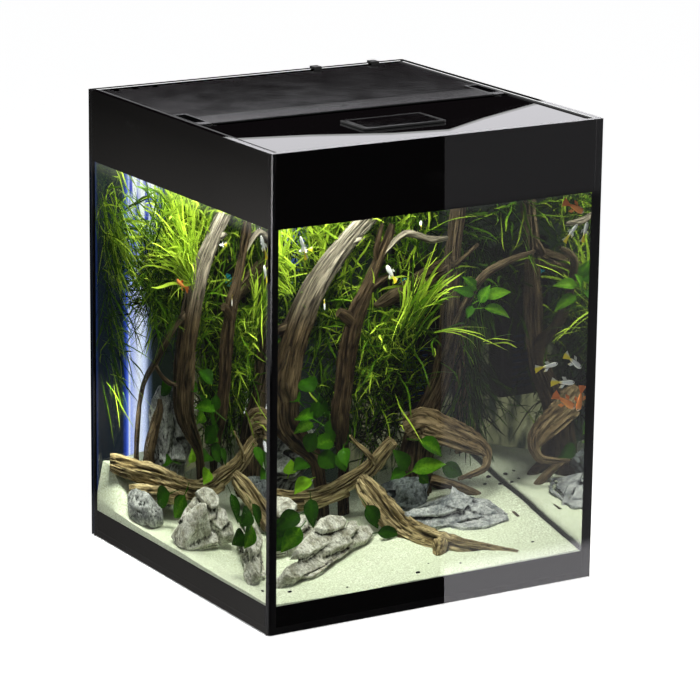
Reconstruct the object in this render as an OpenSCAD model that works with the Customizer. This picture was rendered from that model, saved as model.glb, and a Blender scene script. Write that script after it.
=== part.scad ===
// Cube aquarium with black bands, hinged lid, light bar, filter, heater and planted driftwood.
// Frame: +Z up, -Y the front pane, +X right; origin at the bottom centre of the whole object.

/* [Glass tank] */
// Width over the side panes
tank_w = 500; // [440:5:560]
// Depth over the front and rear panes
tank_d = 497; // [440:1:560]
// Height of the panes
tank_h = 630; // [600:5:700]
// Thickness of the four upright panes
glass_t = 8; // [6:0.5:10]
// Thickness of the base pane
base_t = 10; // [8:0.5:12]
// Flat ground on each outer upright edge
edge_chamfer = 1.5; // [0.5:0.1:2.5]
// Width of the silicone joint between two panes
seam_w = 1; // [0.5:0.1:2]
// Leg of the silicone bead along each inner corner
bead = 5; // [3:0.5:8]

/* [Black bands] */
// Height of the upper black band
top_band_h = 98; // [60:1:130]
// Height of the lower black band
low_band_h = 38; // [20:1:50]
// Thickness of the enamel lining behind the glass
enamel_t = 0.3; // [0.2:0.05:0.5]
// Thickness of the background sheet behind the rear pane
sheet_t = 0.5; // [0.3:0.1:1]

/* [Side rails] */
// Height of each rail
rail_h = 38; // [30:1:60]
// Width of the rail's top land, rim to covers
rail_land = 5.5; // [4.5:0.5:9]
// Wall of the rail's web
rail_wall = 2; // [1.5:0.1:3]
// Reach of the ledge that the covers lie on
ledge_w = 8; // [6:0.5:12]
// Thickness of the ledge
ledge_t = 2.5; // [2:0.1:4]
// Drop from the rim to the top of both covers
cover_drop = 2; // [1:0.1:4]

/* [Light bar] */
// Depth of the bar, front to back
bar_d = 50; // [40:1:60]
// Height of the bar
bar_h = 18; // [14:0.5:24]
// Wall of the bar's channel
bar_wall = 1.8; // [1.2:0.1:2.5]
// Lips along the channel's mouth that the diffuser lies on
bar_lip = 1.2; // [0.8:0.1:2]
// Place of the bar's front face, from the tank's centre
bar_front = -40; // [-60:1:-20]
// Width of each end cap
cap_w = 20; // [16:0.5:24]
// Reach of the end cap behind the bar
cap_tail = 24; // [14:1:34]
// Length of the tongue that carries the bar
tongue = 14; // [8:1:20]
// Width of the lamp's circuit board
board_w = 24; // [12:1:30]

/* [Lid] */
// Thickness of the lid's plate
lid_t = 3; // [2.5:0.1:4]
// Radius of each hinge knuckle
knuckle_r = 2.6; // [2.2:0.1:3]
// Width of each hinge knuckle
knuckle_w = 7; // [5:0.5:10]
// Radius of the hinge pins
pin_r = 1.2; // [1:0.1:1.5]
// Depth of the lip under the lid's front edge
lip_h = 8; // [5:0.5:14]
// Thickness of the lips under both covers
lip_t = 2.5; // [2:0.1:4]

/* [Feeding hatch] */
// Width of the hatch frame
hatch_w = 124; // [90:1:160]
// Depth of the hatch frame
hatch_d = 64; // [50:1:90]
// Height of the hatch frame over the lid
hatch_h = 3.2; // [3:0.1:5]
// Width of the frame's rim
hatch_rim = 5; // [4:0.5:8]
// Distance from the frame's rear edge to the light bar
hatch_back = 65; // [50:1:80]
// Offset of the frame's centre to the left
hatch_left = 4; // [0:1:30]
// Thickness of the flap
flap_t = 2.6; // [2.4:0.1:4]
// Radius of the flap's pin
flap_pin_r = 0.7; // [0.6:0.05:0.8]
// Radius of the finger scoop in the flap's free end
scoop_r = 9; // [7:0.5:11]

/* [Rear cover] */
// Width of each cable notch
notch_w = 10; // [6:0.5:14]
// Depth of each cable notch
notch_d = 10; // [6:0.5:16]
// Distance between two cable notches
notch_pitch = 29.5; // [20:0.5:40]
// Distance of the first notch from the tank's outer left face
notch_first = 35; // [28:0.5:60]
// Number of cable notches
notch_count = 3; // [1:1:5]

/* [Rim clips] */
// Width of each clip
clip_w = 12; // [8:0.5:18]
// Wall of each clip
clip_t = 2.5; // [2:0.1:3]
// Length of the clip's two legs
clip_leg = 16; // [10:1:30]
// Distance between the two clips
clip_pitch = 94; // [60:1:140]
// Distance of the last clip's middle from the tank's outer right face
clip_last = 51; // [30:1:70]

/* [Internal filter] */
// Width of the filter
filter_w = 80; // [70:1:100]
// Depth of the filter
filter_d = 50; // [44:1:60]
// Height of the filter's case
case_h = 155; // [120:1:200]
// Height of the pump head
head_h = 56; // [46:1:70]
// Wall of the case
case_wall = 2.5; // [2:0.1:3.5]
// Height of the filter's underside over the floor
filter_z = 175; // [130:1:220]
// Place of the filter's middle, right of the tank's centre
filter_x = 152; // [120:1:170]
// Radius of the pump's rotor
rotor_r = 8; // [6:0.5:10]
// Radius of the rotor's vanes
vane_r = 12; // [10:0.5:14]
// Radius of the rotor's ceramic shaft
shaft_r = 1.5; // [1:0.1:2]
// Radius of the outlet collar under the swivel nozzle
collar_r = 8; // [6:0.5:9]
// Length of the nozzle's spout
spout_l = 32; // [20:1:50]
// Radius of the flow dial
dial_r = 9; // [7:0.5:12]
// Thickness of the flow dial
dial_t = 5; // [3:0.5:8]
// Radius of each suction cup
cup_r = 11; // [8:0.5:14]
// Depth of each suction cup
cup_d = 6; // [4:0.5:10]

/* [Heater] */
// Radius of the heater's glass tube
heater_r = 11; // [9:0.5:14]
// Length of the heater's glass tube
heater_l = 190; // [150:5:230]
// Height of the heater's cap
heater_cap = 40; // [25:1:60]
// Place of the heater, right of the tank's centre
heater_x = 35; // [20:1:50]
// Height of the heater's underside over the floor
heater_z = 270; // [240:1:300]

/* [Planting] */
// Height of the sand along the front pane
sand_front = 40; // [36:0.5:46]
// Height of the sand in the rear left corner
sand_left = 50; // [46:1:56]
// Height of the sand in the rear right corner
sand_right = 115; // [100:1:125]
// Scale of the driftwood's thickness
wood_girth = 1; // [0.8:0.02:1.1]

/* [Hidden] */

// Clearances
gap = 0.3;      // between two pieces that lie on or beside each other
slip = 0.5;     // around a piece that is lifted out
run = 0.06;     // radial running fit of a pin, shaft or collar
fine = 64;      // facets of a turned shape
rough = 10;     // facets of a stone or a plant

// Places of the panes
half_w = tank_w / 2;
depth_all = tank_d + sheet_t + clip_t;
y_front = -depth_all / 2;
y_rear = y_front + tank_d;
in_x = half_w - glass_t;
in_yf = y_front + glass_t;
in_yr = y_rear - glass_t;
base_gap = seam_w;

// Places of the rails, the light bar and the covers
rail_x = in_x - enamel_t - rail_land;
web_x = in_x - enamel_t;
cover_top = tank_h - cover_drop;
cover_low = cover_top - lid_t;
ledge_top = cover_low - gap;
ledge_x = rail_x - ledge_w;
bar_rear = bar_front + bar_d;
bar_top = tank_h - 0.4;
bar_low = bar_top - bar_h;
bar_x = rail_x - gap - cap_w;
cap_front = bar_front;
cap_rear = bar_rear + cap_tail;
shelf_top = bar_low + 3;
board_t = 1.6;
diffuser_t = 2;
led_w = 5;
led_pitch = 20;
led_half = floor((bar_x - tongue - 4 - led_w) / led_pitch);

// Pocket of the end caps, and the screws that hold them to the rails
pocket_floor = shelf_top + 5;
screw_r = 1.5;
screw_head_r = 2.5;
screw_head_h = 1.6;
screw_x = (ledge_x + rail_x) / 2;
screw_inset = 24;
screw_rows = [bar_front + screw_inset, cap_rear - screw_inset * 3 / 4];

// Hinge of the front lid
hinge_y = bar_front - knuckle_r - 1;
hinge_z = cover_top - knuckle_r - 0.1;
lid_rear = hinge_y - knuckle_r - 1.8;
lid_front = in_yf + enamel_t + 2;
lid_x = rail_x - slip;
knuckle_x = lid_x - 14;
ear_w = 5;
ear_x = knuckle_x + gap;

// Feeding hatch
hatch_x = -hatch_left;
hatch_y = bar_front - hatch_back - hatch_d / 2;
hatch_in_w = hatch_w - 2 * hatch_rim;
hatch_in_d = hatch_d - 2 * hatch_rim;
hatch_low = cover_top;
flap_low = hatch_low + gap;
flap_axis_x = hatch_x - hatch_in_w / 2 + flap_t / 2 + 1.2;
flap_axis_z = flap_low + flap_t / 2;
flap_right = hatch_x + hatch_in_w / 2 - slip;
flap_d = hatch_in_d - 2 * slip;
feed_seat = 8;
feed_w = hatch_in_w - 2 * feed_seat;
feed_d = hatch_in_d - 2 * feed_seat;

// Rear cover
rear_front = bar_rear + slip + 1;
rear_rear = in_yr - clip_t - gap - 1.5;

// Filter
cup_inset = 14;
cup_low = 30;
cup_high = 20;
dial_off = 22;
filter_back = in_yr - cup_d - gap;
filter_yf = filter_back - filter_d;
filter_yc = filter_back - filter_d / 2;
head_z = filter_z + case_h;
head_top = head_z + head_h;
plate_t = 3;
chamber_r = vane_r + 1.5;
vane_h = 7;
rotor_h = 22;
rotor_z = head_z + plate_t + 2;
chamber_h = vane_h + 4;
well_r = rotor_r + 1.2;
shaft_z = head_z + 1;
shaft_l = rotor_h + vane_h + 8;
collar_x = filter_x - filter_w / 4;
collar_h = 12;
nozzle_r = collar_r + 3;
nozzle_h = collar_h + 8;
spout_r = 6;
spout_z = head_top + nozzle_h - spout_r;
dial_x = filter_x - dial_off;
dial_z = head_z + head_h / 2;
dial_shaft_r = 3;
dial_bore = 8;

// Heater
heater_y = in_yr - cup_d - 6 - heater_r;
ring_t = 2.5;
ring_h = 8;
ring_low = 40;
ring_high = 30;

// Sand: a surface that rises to the rear and most of all to the rear right corner, on a square grid
sand_x = in_x - gap;
sand_yf = in_yf + gap;
sand_yr = in_yr - gap;
sand_n = 6;
function sand_at(u, v) =
    sand_front + v * (sand_left - sand_front) + pow(u, 2.5) * v * (sand_right - sand_left);
function sand_grid(lift) = [
    for (j = [0 : sand_n], i = [0 : sand_n])
        [-sand_x + 2 * sand_x * i / sand_n, sand_yf + (sand_yr - sand_yf) * j / sand_n,
            sand_at(i / sand_n, j / sand_n) + lift],
];
function flat_grid(z) = [for (p = sand_grid(0)) [p[0], p[1], z]];

// Planting grid: places are given for a tank of this inner width, depth and height, and follow its size
grid_w = 484;
grid_d = 481;
grid_y = -1.5;
grid_h = 630;
grid_sand = 40;
girth = 2 * in_x / grid_w;
function place(p) = [
    p[0] * 2 * in_x / grid_w,
    (p[1] - grid_y) * (in_yr - in_yf) / grid_d + (in_yf + in_yr) / 2,
    (p[2] - grid_sand) * tank_h / grid_h + sand_front,
];

// Driftwood: each limb is a route of points with a radius at each
main_route = [
    [-21, 118, 50, 10], [-26, 118, 105, 9], [-36, 119, 145, 10], [-60, 120, 172, 15], [-80, 120, 200, 20],
    [-83, 120, 232, 21], [-72, 120, 298, 20], [-52, 120, 352, 18], [-28, 120, 392, 16], [10, 120, 436, 13],
    [52, 120, 473, 12], [105, 122, 515, 11], [140, 124, 545, 9],
];
middle_route = [
    [10, 116, 50, 8], [9, 114, 110, 8], [2, 104, 148, 9], [-9, 84, 184, 11], [-13, 72, 216, 12],
    [-10, 68, 258, 12], [-3, 68, 313, 13], [8, 68, 351, 12], [24, 68, 380, 8], [43, 68, 419, 7],
    [57, 68, 450, 6], [62, 68, 466, 4],
];
pale_route = [
    [46, 68, 424, 5], [71, 62, 447, 5], [88, 60, 451, 5], [119, 60, 440, 5], [146, 58, 439, 3],
];
right_route = [
    [118, 112, 60, 27], [124, 112, 120, 24], [130, 110, 165, 20], [144, 110, 195, 16], [160, 110, 229, 14],
    [170, 110, 278, 13], [174, 110, 342, 12], [178, 110, 412, 11], [185, 110, 465, 10], [190, 110, 545, 8],
];
antler_route = [
    [168, 104, 262, 10], [158, 66, 288, 9], [155, 32, 328, 7], [160, 0, 370, 6], [172, -30, 400, 6],
    [197, -60, 420, 5], [222, -86, 433, 3],
];
rear_route = [
    [180, 111, 398, 8], [166, 116, 388, 11], [132, 118, 374, 12], [98, 118, 360, 11], [70, 112, 351, 8],
    [52, 106, 346, 4],
];
root_route = [
    [126, 104, 150, 18], [120, 78, 168, 20], [134, 58, 166, 18], [164, 50, 150, 16], [195, 45, 130, 13],
    [211, 38, 104, 9], [214, 32, 70, 6],
];
long_route = [
    [-222, 218, 111, 12], [-206, 196, 111, 14], [-180, 170, 110, 15], [-150, 148, 108, 15],
    [-120, 128, 104, 14], [-90, 112, 100, 14], [-54, 102, 99, 13], [-26, 98, 106, 12], [2, 91, 118, 11],
    [31, 66, 143, 11], [47, 52, 168, 10], [64, 41, 190, 8],
];
thin_route = [
    [-64, 124, 334, 6], [-112, 116, 322, 6], [-142, 120, 298, 6], [-151, 138, 270, 5], [-153, 162, 244, 5],
    [-152, 178, 218, 5], [-150, 190, 180, 5], [-148, 198, 115, 6], [-138, 200, 40, 8],
];
stump_route = [
    [-130, 182, 40, 13], [-130, 178, 118, 11], [-131, 166, 156, 10], [-129, 148, 194, 8], [-128, 148, 212, 5],
];
short_route = [
    [16, 60, 116, 8], [20, 24, 104, 11], [34, -4, 80, 12], [50, -32, 60, 13], [62, -90, 54, 13],
    [84, -145, 50, 11], [120, -172, 45, 7], [151, -205, 41, 4],
];

// Stones: each is a blend of balls, given as place and radius
front_slab = [
    [-178, -142, 46, 14], [-150, -150, 44, 14], [-24, -24, 50, 13], [2, -4, 50, 12], [-64, -14, 50, 13],
    [-120, -92, 58, 14],
];
front_top = [
    [-150, -118, 60, 9], [-92, -98, 64, 9], [-102, -62, 96, 9], [-62, -46, 90, 9], [-50, -70, 64, 9],
];
left_balls = [
    [-226, 2, 48, 12], [-214, 34, 50, 12], [-152, 34, 50, 12], [-146, -6, 50, 12], [-170, -14, 106, 10],
    [-160, 6, 100, 10], [-204, 10, 84, 11],
];
round_balls = [
    [-220, 140, 60, 17], [-212, 108, 58, 16], [-174, 144, 62, 18], [-188, 104, 60, 16], [-204, 156, 72, 16],
    [-202, 122, 76, 16],
];
slate_balls = [
    [-106, 152, 60, 9], [-22, 162, 62, 9], [-30, 208, 68, 9], [-102, 208, 60, 9], [-98, 158, 226, 9],
    [-90, 178, 214, 9], [-56, 168, 150, 9], [-106, 188, 190, 9],
];
right_balls = [
    [80, 44, 62, 8], [102, -20, 56, 8], [120, -76, 50, 8], [150, -92, 52, 8], [188, -86, 56, 8],
    [192, -5, 70, 8], [160, 50, 74, 8], [136, 4, 88, 7], [152, -20, 82, 7],
];
middle_balls = [
    [64, 60, 62, 8], [106, 42, 70, 8], [98, 64, 74, 8], [72, 54, 98, 8], [106, 56, 98, 8],
];

// Plants: each clump is a blend of balls
left_fern_balls = [
    [-150, 130, 300, 42], [-175, 130, 400, 46], [-120, 150, 420, 50], [-110, 160, 490, 42],
    [-170, 160, 480, 40], [-62, 130, 362, 16],
];
middle_fern_balls = [
    [62, 146, 230, 34], [60, 148, 300, 38], [94, 142, 340, 34], [100, 130, 392, 28],
];
top_fern_balls = [
    [-20, 158, 480, 36], [40, 165, 510, 30], [-50, 165, 500, 32], [42, 134, 474, 16],
];
left_anubias_balls = [
    [-58, 82, 116, 19], [-70, 64, 150, 18], [-40, 66, 158, 16],
];
right_anubias_balls = [
    [66, 12, 156, 18], [84, 16, 140, 16], [60, 28, 174, 16],
];

// ---- shared shapes -------------------------------------------------------------------------------

// A block between two corners
module block(low, high) {
    translate(low) cube(high - low);
}

// A plate with round upright corners, between two corners
module soft_block(low, high, r) {
    translate([0, 0, low[2]])
        linear_extrude(high[2] - low[2]) {
            translate([low[0] + r, low[1]]) square([high[0] - low[0] - 2 * r, high[1] - low[1]]);
            translate([low[0], low[1] + r]) square([high[0] - low[0], high[1] - low[1] - 2 * r]);
            for (x = [low[0] + r, high[0] - r], y = [low[1] + r, high[1] - r])
                translate([x, y]) circle(r, $fn = fine);
        }
}

// A rod along an axis from a start point
module rod_x(at, r, length) {
    translate(at) rotate([0, 90, 0]) cylinder(r = r, h = length, $fn = fine);
}

module rod_y(at, r, length) {
    translate(at) rotate([-90, 0, 0]) cylinder(r = r, h = length, $fn = fine);
}

module rod_z(at, r, length) {
    translate(at) cylinder(r = r, h = length, $fn = fine);
}

module mirror_pair() {
    children();
    mirror([1, 0, 0]) children();
}

// A solid between a lower and an upper grid of points
module grid_solid(lower, upper) {
    n = sand_n;
    row = n + 1;
    up = row * row;
    polyhedron(
        points = concat(lower, upper),
        faces = concat(
            [for (j = [0 : n - 1], i = [0 : n - 1])
                [j * row + i, j * row + i + 1, (j + 1) * row + i]],
            [for (j = [0 : n - 1], i = [0 : n - 1])
                [j * row + i + 1, (j + 1) * row + i + 1, (j + 1) * row + i]],
            [for (j = [0 : n - 1], i = [0 : n - 1])
                [up + j * row + i, up + (j + 1) * row + i, up + j * row + i + 1]],
            [for (j = [0 : n - 1], i = [0 : n - 1])
                [up + j * row + i + 1, up + (j + 1) * row + i, up + (j + 1) * row + i + 1]],
            [for (i = [0 : n - 1]) [i, up + i, up + i + 1, i + 1]],
            [for (i = [0 : n - 1])
                [n * row + i + 1, up + n * row + i + 1, up + n * row + i, n * row + i]],
            [for (j = [0 : n - 1]) [(j + 1) * row, up + (j + 1) * row, up + j * row, j * row]],
            [for (j = [0 : n - 1])
                [j * row + n, up + j * row + n, up + (j + 1) * row + n, (j + 1) * row + n]]));
}

// Everything above the sand, and nothing through the panes
module over_sand(lift = gap) {
    grid_solid(sand_grid(lift), flat_grid(tank_h));
}

function unit(v) = v / norm(v);
function spot(q) = place([q[0], q[1], q[2]]);
function heading(route, i) =
    unit(spot(route[min(i + 1, len(route) - 1)]) - spot(route[max(i - 1, 0)]));
function ring(route, i, aside, more, sides) =
    let (t = heading(route, i), u = unit(cross(t, aside)), v = cross(t, u),
        r = route[i][3] * wood_girth * girth + more)
        [for (k = [0 : sides - 1]) spot(route[i]) + r * (u * cos(360 * k / sides) + v * sin(360 * k / sides))];

// A limb of wood swept along its route; aside is a direction that the route never takes
module limb(route, aside = [0, 1, 0], more = 0, sides = 8) {
    rings = len(route);
    polyhedron(
        points = [for (i = [0 : rings - 1]) each ring(route, i, aside, more, sides)],
        faces = concat(
            [[for (k = [0 : sides - 1]) k]],
            [[for (k = [0 : sides - 1]) rings * sides - 1 - k]],
            [for (i = [0 : rings - 2], k = [0 : sides - 1])
                [i * sides + k, (i + 1) * sides + (k + 1) % sides, i * sides + (k + 1) % sides]],
            [for (i = [0 : rings - 2], k = [0 : sides - 1])
                [i * sides + k, (i + 1) * sides + k, (i + 1) * sides + (k + 1) % sides]]));
}

// A stone or a clump of leaves, blended from balls
module blend(balls, more = 0, facets = rough) {
    hull()
        for (b = balls)
            translate(spot(b)) sphere(b[3] * girth + more, $fn = facets);
}

// ---- glass tank ----------------------------------------------------------------------------------

// Front and rear panes run the full width, with ground outer edges
module end_pane(y_out, y_in) {
    s = sign(y_in - y_out);
    linear_extrude(tank_h)
        polygon([
            [-half_w + edge_chamfer, y_out], [-half_w, y_out + s * edge_chamfer], [-half_w, y_in],
            [half_w, y_in], [half_w, y_out + s * edge_chamfer], [half_w - edge_chamfer, y_out],
        ]);
}

module front_pane() {
    color("#b9d2cc", 0.4) end_pane(y_front, in_yf);
}

module rear_pane() {
    color("#b9d2cc", 0.4) end_pane(y_rear, in_yr);
}

module side_pane() {
    block([in_x, in_yf + seam_w, 0], [half_w, in_yr - seam_w, tank_h]);
}

module left_pane() {
    color("#b9d2cc", 0.4) mirror([1, 0, 0]) side_pane();
}

module right_pane() {
    color("#b9d2cc", 0.4) side_pane();
}

module base_pane() {
    color("#b9d2cc", 0.4)
        block([-in_x + base_gap, in_yf + base_gap, 0], [in_x - base_gap, in_yr - base_gap, base_t]);
}

// Silicone: strips between the panes, the joint round the base, and a bead along each upright corner
module corner_bead(y_in, toward, leg) {
    translate([0, 0, base_t])
        linear_extrude(tank_h - top_band_h - base_t)
            polygon([[in_x, y_in + toward * leg], [in_x - leg, y_in], [in_x, y_in]]);
}

module corner_seam(y_in, toward) {
    y0 = min(y_in, y_in + toward * seam_w);
    block([in_x, y0, 0], [half_w, y0 + seam_w, tank_h]);
    corner_bead(y_in, toward, bead);
}

module silicone_joints() {
    color("#101010") {
        mirror_pair() {
            corner_seam(in_yf, 1);
            corner_seam(in_yr, -1);
        }
        difference() {
            block([-in_x, in_yf, 0], [in_x, in_yr, base_t]);
            translate([0, 0, -1])
                block([-in_x + base_gap, in_yf + base_gap, 0], [in_x - base_gap, in_yr - base_gap, base_t + 2]);
        }
    }
}

// Black enamel behind the glass: a thin skin on the inner face of each pane
module enamel_skin(low, high, inset) {
    mirror_pair()
        block([in_x - enamel_t, in_yf + inset, low], [in_x, in_yr - inset, high]);
    block([-in_x + inset, in_yf, low], [in_x - inset, in_yf + enamel_t, high]);
    block([-in_x + inset, in_yr - enamel_t, low], [in_x - inset, in_yr, high]);
}

module upper_band() {
    color("#0b0b0b") enamel_skin(tank_h - top_band_h, tank_h - 1, seam_w);
}

module lower_band() {
    color("#0b0b0b") enamel_skin(base_t, low_band_h, bead);
}

module background_sheet() {
    color("#07090c") block([-half_w + 2, y_rear, 0.5], [half_w - 2, y_rear + sheet_t, tank_h - 2]);
}

// ---- rails and light bar -------------------------------------------------------------------------

// One rail: a web against the glass, a ribbed top land, and a ledge for the covers
module rail_section(ledge_z) {
    polygon([
        [web_x, tank_h - rail_h], [web_x, tank_h - 1], [web_x - rail_land * 0.28, tank_h - 0.4],
        [web_x - rail_land * 0.42, tank_h - 1.2], [web_x - rail_land * 0.64, tank_h - 0.4],
        [web_x - rail_land * 0.78, tank_h - 1.2], [rail_x, tank_h - 0.8], [rail_x, ledge_z],
        [ledge_x, ledge_z], [ledge_x, ledge_z - ledge_t], [web_x - rail_wall, ledge_z - ledge_t],
        [web_x - rail_wall, tank_h - rail_h],
    ]);
}

module rail_stretch(y0, y1, ledge_z) {
    translate([0, y1, 0]) rotate([90, 0, 0]) linear_extrude(y1 - y0) rail_section(ledge_z);
}

module rail() {
    difference() {
        union() {
            rail_stretch(in_yf + enamel_t + gap, cap_front - gap, ledge_top);
            rail_stretch(cap_front - gap, cap_rear + gap, shelf_top - gap);
            rail_stretch(cap_rear + gap, in_yr - enamel_t - gap, ledge_top);
        }
        for (y = screw_rows)
            rod_z([screw_x, y, shelf_top - ledge_t - 2], screw_r, ledge_t + 4);
    }
}

module left_rail() {
    color("#1b1b1d") mirror([1, 0, 0]) rail();
}

module right_rail() {
    color("#1b1b1d") rail();
}

// End cap: a block on the rail's shelf with a long open pocket, a tongue for the bar and a hinge ear
module end_cap() {
    cap_in = bar_x + gap;
    cap_out = rail_x - gap;
    difference() {
        union() {
            soft_block([cap_in, cap_front, shelf_top], [cap_out, cap_rear, bar_top], 4);
            block([bar_x - tongue, bar_front + bar_wall + gap, bar_low + bar_lip + diffuser_t + 2.5],
                [cap_in + 6, bar_rear - bar_wall - gap, bar_top - bar_wall - gap - board_t]);
            block([ear_x, hinge_y - knuckle_r, hinge_z - knuckle_r + 0.4],
                [ear_x + ear_w, cap_front + 4, hinge_z + knuckle_r - 0.4]);
            block([ear_x, hinge_y - knuckle_r, shelf_top],
                [ear_x + ear_w, cap_front + 4, hinge_z]);
        }
        soft_block([cap_in + 3, cap_front + 14, pocket_floor], [cap_out - 1, cap_rear - 4, bar_top + 1], 3);
        for (y = screw_rows)
            rod_z([screw_x, y, shelf_top - 1], screw_r, pocket_floor - shelf_top + 2);
        rod_x([ear_x - 1, hinge_y, hinge_z], pin_r, ear_w + 2);
        block([bar_x - tongue - 1, bar_front + bar_wall + 6, bar_low],
            [bar_x - 2, bar_rear - bar_wall - 6, bar_top - bar_wall - 4]);
    }
}

module left_end_cap() {
    color("#2a2a2c") mirror([1, 0, 0]) end_cap();
}

module right_end_cap() {
    color("#2a2a2c") end_cap();
}

module end_cap_screws() {
    color("#c8c8cc")
        mirror_pair()
            for (y = screw_rows) {
                rod_z([screw_x, y, shelf_top - gap - ledge_t - 1], screw_r - 0.02,
                    pocket_floor - shelf_top + gap + ledge_t + 1.5);
                rod_z([screw_x, y, pocket_floor], screw_head_r, screw_head_h);
            }
}

// The bar is a channel, open below, with soft top edges
module light_bar() {
    color("#656268")
        translate([-bar_x, 0, 0]) rotate([90, 0, 90]) linear_extrude(2 * bar_x)
            difference() {
                polygon([
                    [bar_front, bar_low], [bar_front, bar_top - 1.5], [bar_front + 0.5, bar_top - 0.4],
                    [bar_front + 1.5, bar_top], [bar_rear - 1.5, bar_top], [bar_rear - 0.5, bar_top - 0.4],
                    [bar_rear, bar_top - 1.5], [bar_rear, bar_low],
                ]);
                translate([bar_front + bar_wall, bar_low + bar_lip])
                    square([bar_d - 2 * bar_wall, bar_h - bar_wall - bar_lip]);
                translate([bar_front + bar_wall + bar_lip, bar_low - 1])
                    square([bar_d - 2 * bar_wall - 2 * bar_lip, bar_lip + 2]);
            }
}

module lamp_board() {
    color("#e8e8e4") {
        yc = (bar_front + bar_rear) / 2;
        z1 = bar_top - bar_wall;
        block([-bar_x + tongue + 4, yc - board_w / 2, z1 - board_t],
            [bar_x - tongue - 4, yc + board_w / 2, z1]);
        for (i = [-led_half : led_half])
            block([i * led_pitch - led_w / 2, yc - led_w / 2, z1 - board_t - 1],
                [i * led_pitch + led_w / 2, yc + led_w / 2, z1 - board_t]);
    }
}

module lamp_diffuser() {
    color("#f4f4f0", 0.7)
        block([-bar_x + 1, bar_front + bar_wall + gap, bar_low + bar_lip],
            [bar_x - 1, bar_rear - bar_wall - gap, bar_low + bar_lip + diffuser_t]);
}

// ---- front lid and its hatch ---------------------------------------------------------------------

module front_lid() {
    color("#131315")
        difference() {
            union() {
                soft_block([-lid_x, lid_front, cover_low], [lid_x, lid_rear, cover_top], 1.5);
                block([-ledge_x + 1.5, lid_front + 1, cover_low - lip_h],
                    [ledge_x - 1.5, lid_front + 1 + lip_t, cover_low + 1]);
                mirror_pair() {
                    rod_x([knuckle_x - knuckle_w, hinge_y, hinge_z], knuckle_r, knuckle_w);
                    block([knuckle_x - knuckle_w, lid_rear - 3, hinge_z - knuckle_r],
                        [knuckle_x, hinge_y, cover_top - 0.1]);
                }
            }
            mirror_pair() rod_x([knuckle_x - knuckle_w - 1, hinge_y, hinge_z], pin_r + run, knuckle_w + 2);
            block([hatch_x - feed_w / 2, hatch_y - feed_d / 2, cover_low - 1],
                [hatch_x + feed_w / 2, hatch_y + feed_d / 2, cover_top + 1]);
        }
}

module lid_hinge_pins() {
    color("#c8c8cc")
        mirror_pair()
            rod_x([knuckle_x - knuckle_w + 0.5, hinge_y, hinge_z], pin_r - 0.01, knuckle_w + gap + ear_w - 1);
}

module hatch_frame() {
    color("#2c2c2e")
        difference() {
            soft_block([hatch_x - hatch_w / 2, hatch_y - hatch_d / 2, hatch_low],
                [hatch_x + hatch_w / 2, hatch_y + hatch_d / 2, hatch_low + hatch_h], 4);
            translate([0, 0, -1])
                block([hatch_x - hatch_in_w / 2, hatch_y - hatch_in_d / 2, hatch_low],
                    [hatch_x + hatch_in_w / 2, hatch_y + hatch_in_d / 2, hatch_low + hatch_h + 2]);
            rod_y([flap_axis_x, hatch_y - hatch_in_d / 2 - 3.5, flap_axis_z], flap_pin_r, hatch_in_d + 7);
        }
}

module feeding_flap() {
    color("#1a1a1c")
        difference() {
            union() {
                rod_y([flap_axis_x, hatch_y - flap_d / 2, flap_axis_z], flap_t / 2, flap_d);
                block([flap_axis_x, hatch_y - flap_d / 2, flap_low],
                    [flap_right, hatch_y + flap_d / 2, flap_low + flap_t]);
            }
            rod_y([flap_axis_x, hatch_y - flap_d / 2 - 1, flap_axis_z], flap_pin_r + run, flap_d + 2);
            rod_z([flap_right + scoop_r * 0.3, hatch_y, flap_low - 1], scoop_r, flap_t + 2);
        }
}

module flap_pin() {
    color("#c8c8cc")
        rod_y([flap_axis_x, hatch_y - hatch_in_d / 2 - 3, flap_axis_z], flap_pin_r - 0.01, hatch_in_d + 6);
}

// ---- rear cover and rim clips --------------------------------------------------------------------

module rear_cover() {
    notch_x0 = -half_w + notch_first;
    color("#2b292c")
        difference() {
            union() {
                soft_block([-lid_x, rear_front, cover_low], [lid_x, rear_rear, cover_top], 1.5);
                block([-ledge_x + 1.5, rear_rear - notch_d - 2 - lip_t, cover_low - lip_h],
                    [ledge_x - 1.5, rear_rear - notch_d - 2, cover_low + 1]);
                block([-ledge_x + 1.5, cap_rear + 2, cover_low - lip_h],
                    [ledge_x - 1.5, cap_rear + 2 + lip_t, cover_low + 1]);
            }
            for (i = [0 : notch_count - 1])
                block([notch_x0 + i * notch_pitch - notch_w / 2, rear_rear - notch_d, cover_low - 1],
                    [notch_x0 + i * notch_pitch + notch_w / 2, rear_rear + 2, cover_top + 1]);
            // clearance round the two end caps
            mirror_pair()
                block([bar_x - slip, rear_front - 2, cover_low - lip_h - 1],
                    [half_w, cap_rear + slip, cover_top + 1]);
        }
}

module rim_clips() {
    color("#0e0e0e")
        for (i = [0, 1]) {
            x0 = half_w - clip_last - i * clip_pitch - clip_w / 2;
            y_in = in_yr - enamel_t - 0.2;
            block([x0, y_in - clip_t, tank_h], [x0 + clip_w, y_rear + sheet_t + clip_t, tank_h + clip_t]);
            block([x0, y_in - clip_t, tank_h - clip_leg], [x0 + clip_w, y_in, tank_h + clip_t]);
            block([x0, y_rear + sheet_t, tank_h - clip_leg],
                [x0 + clip_w, y_rear + sheet_t + clip_t, tank_h + clip_t]);
        }
}

// ---- internal filter -----------------------------------------------------------------------------

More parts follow.
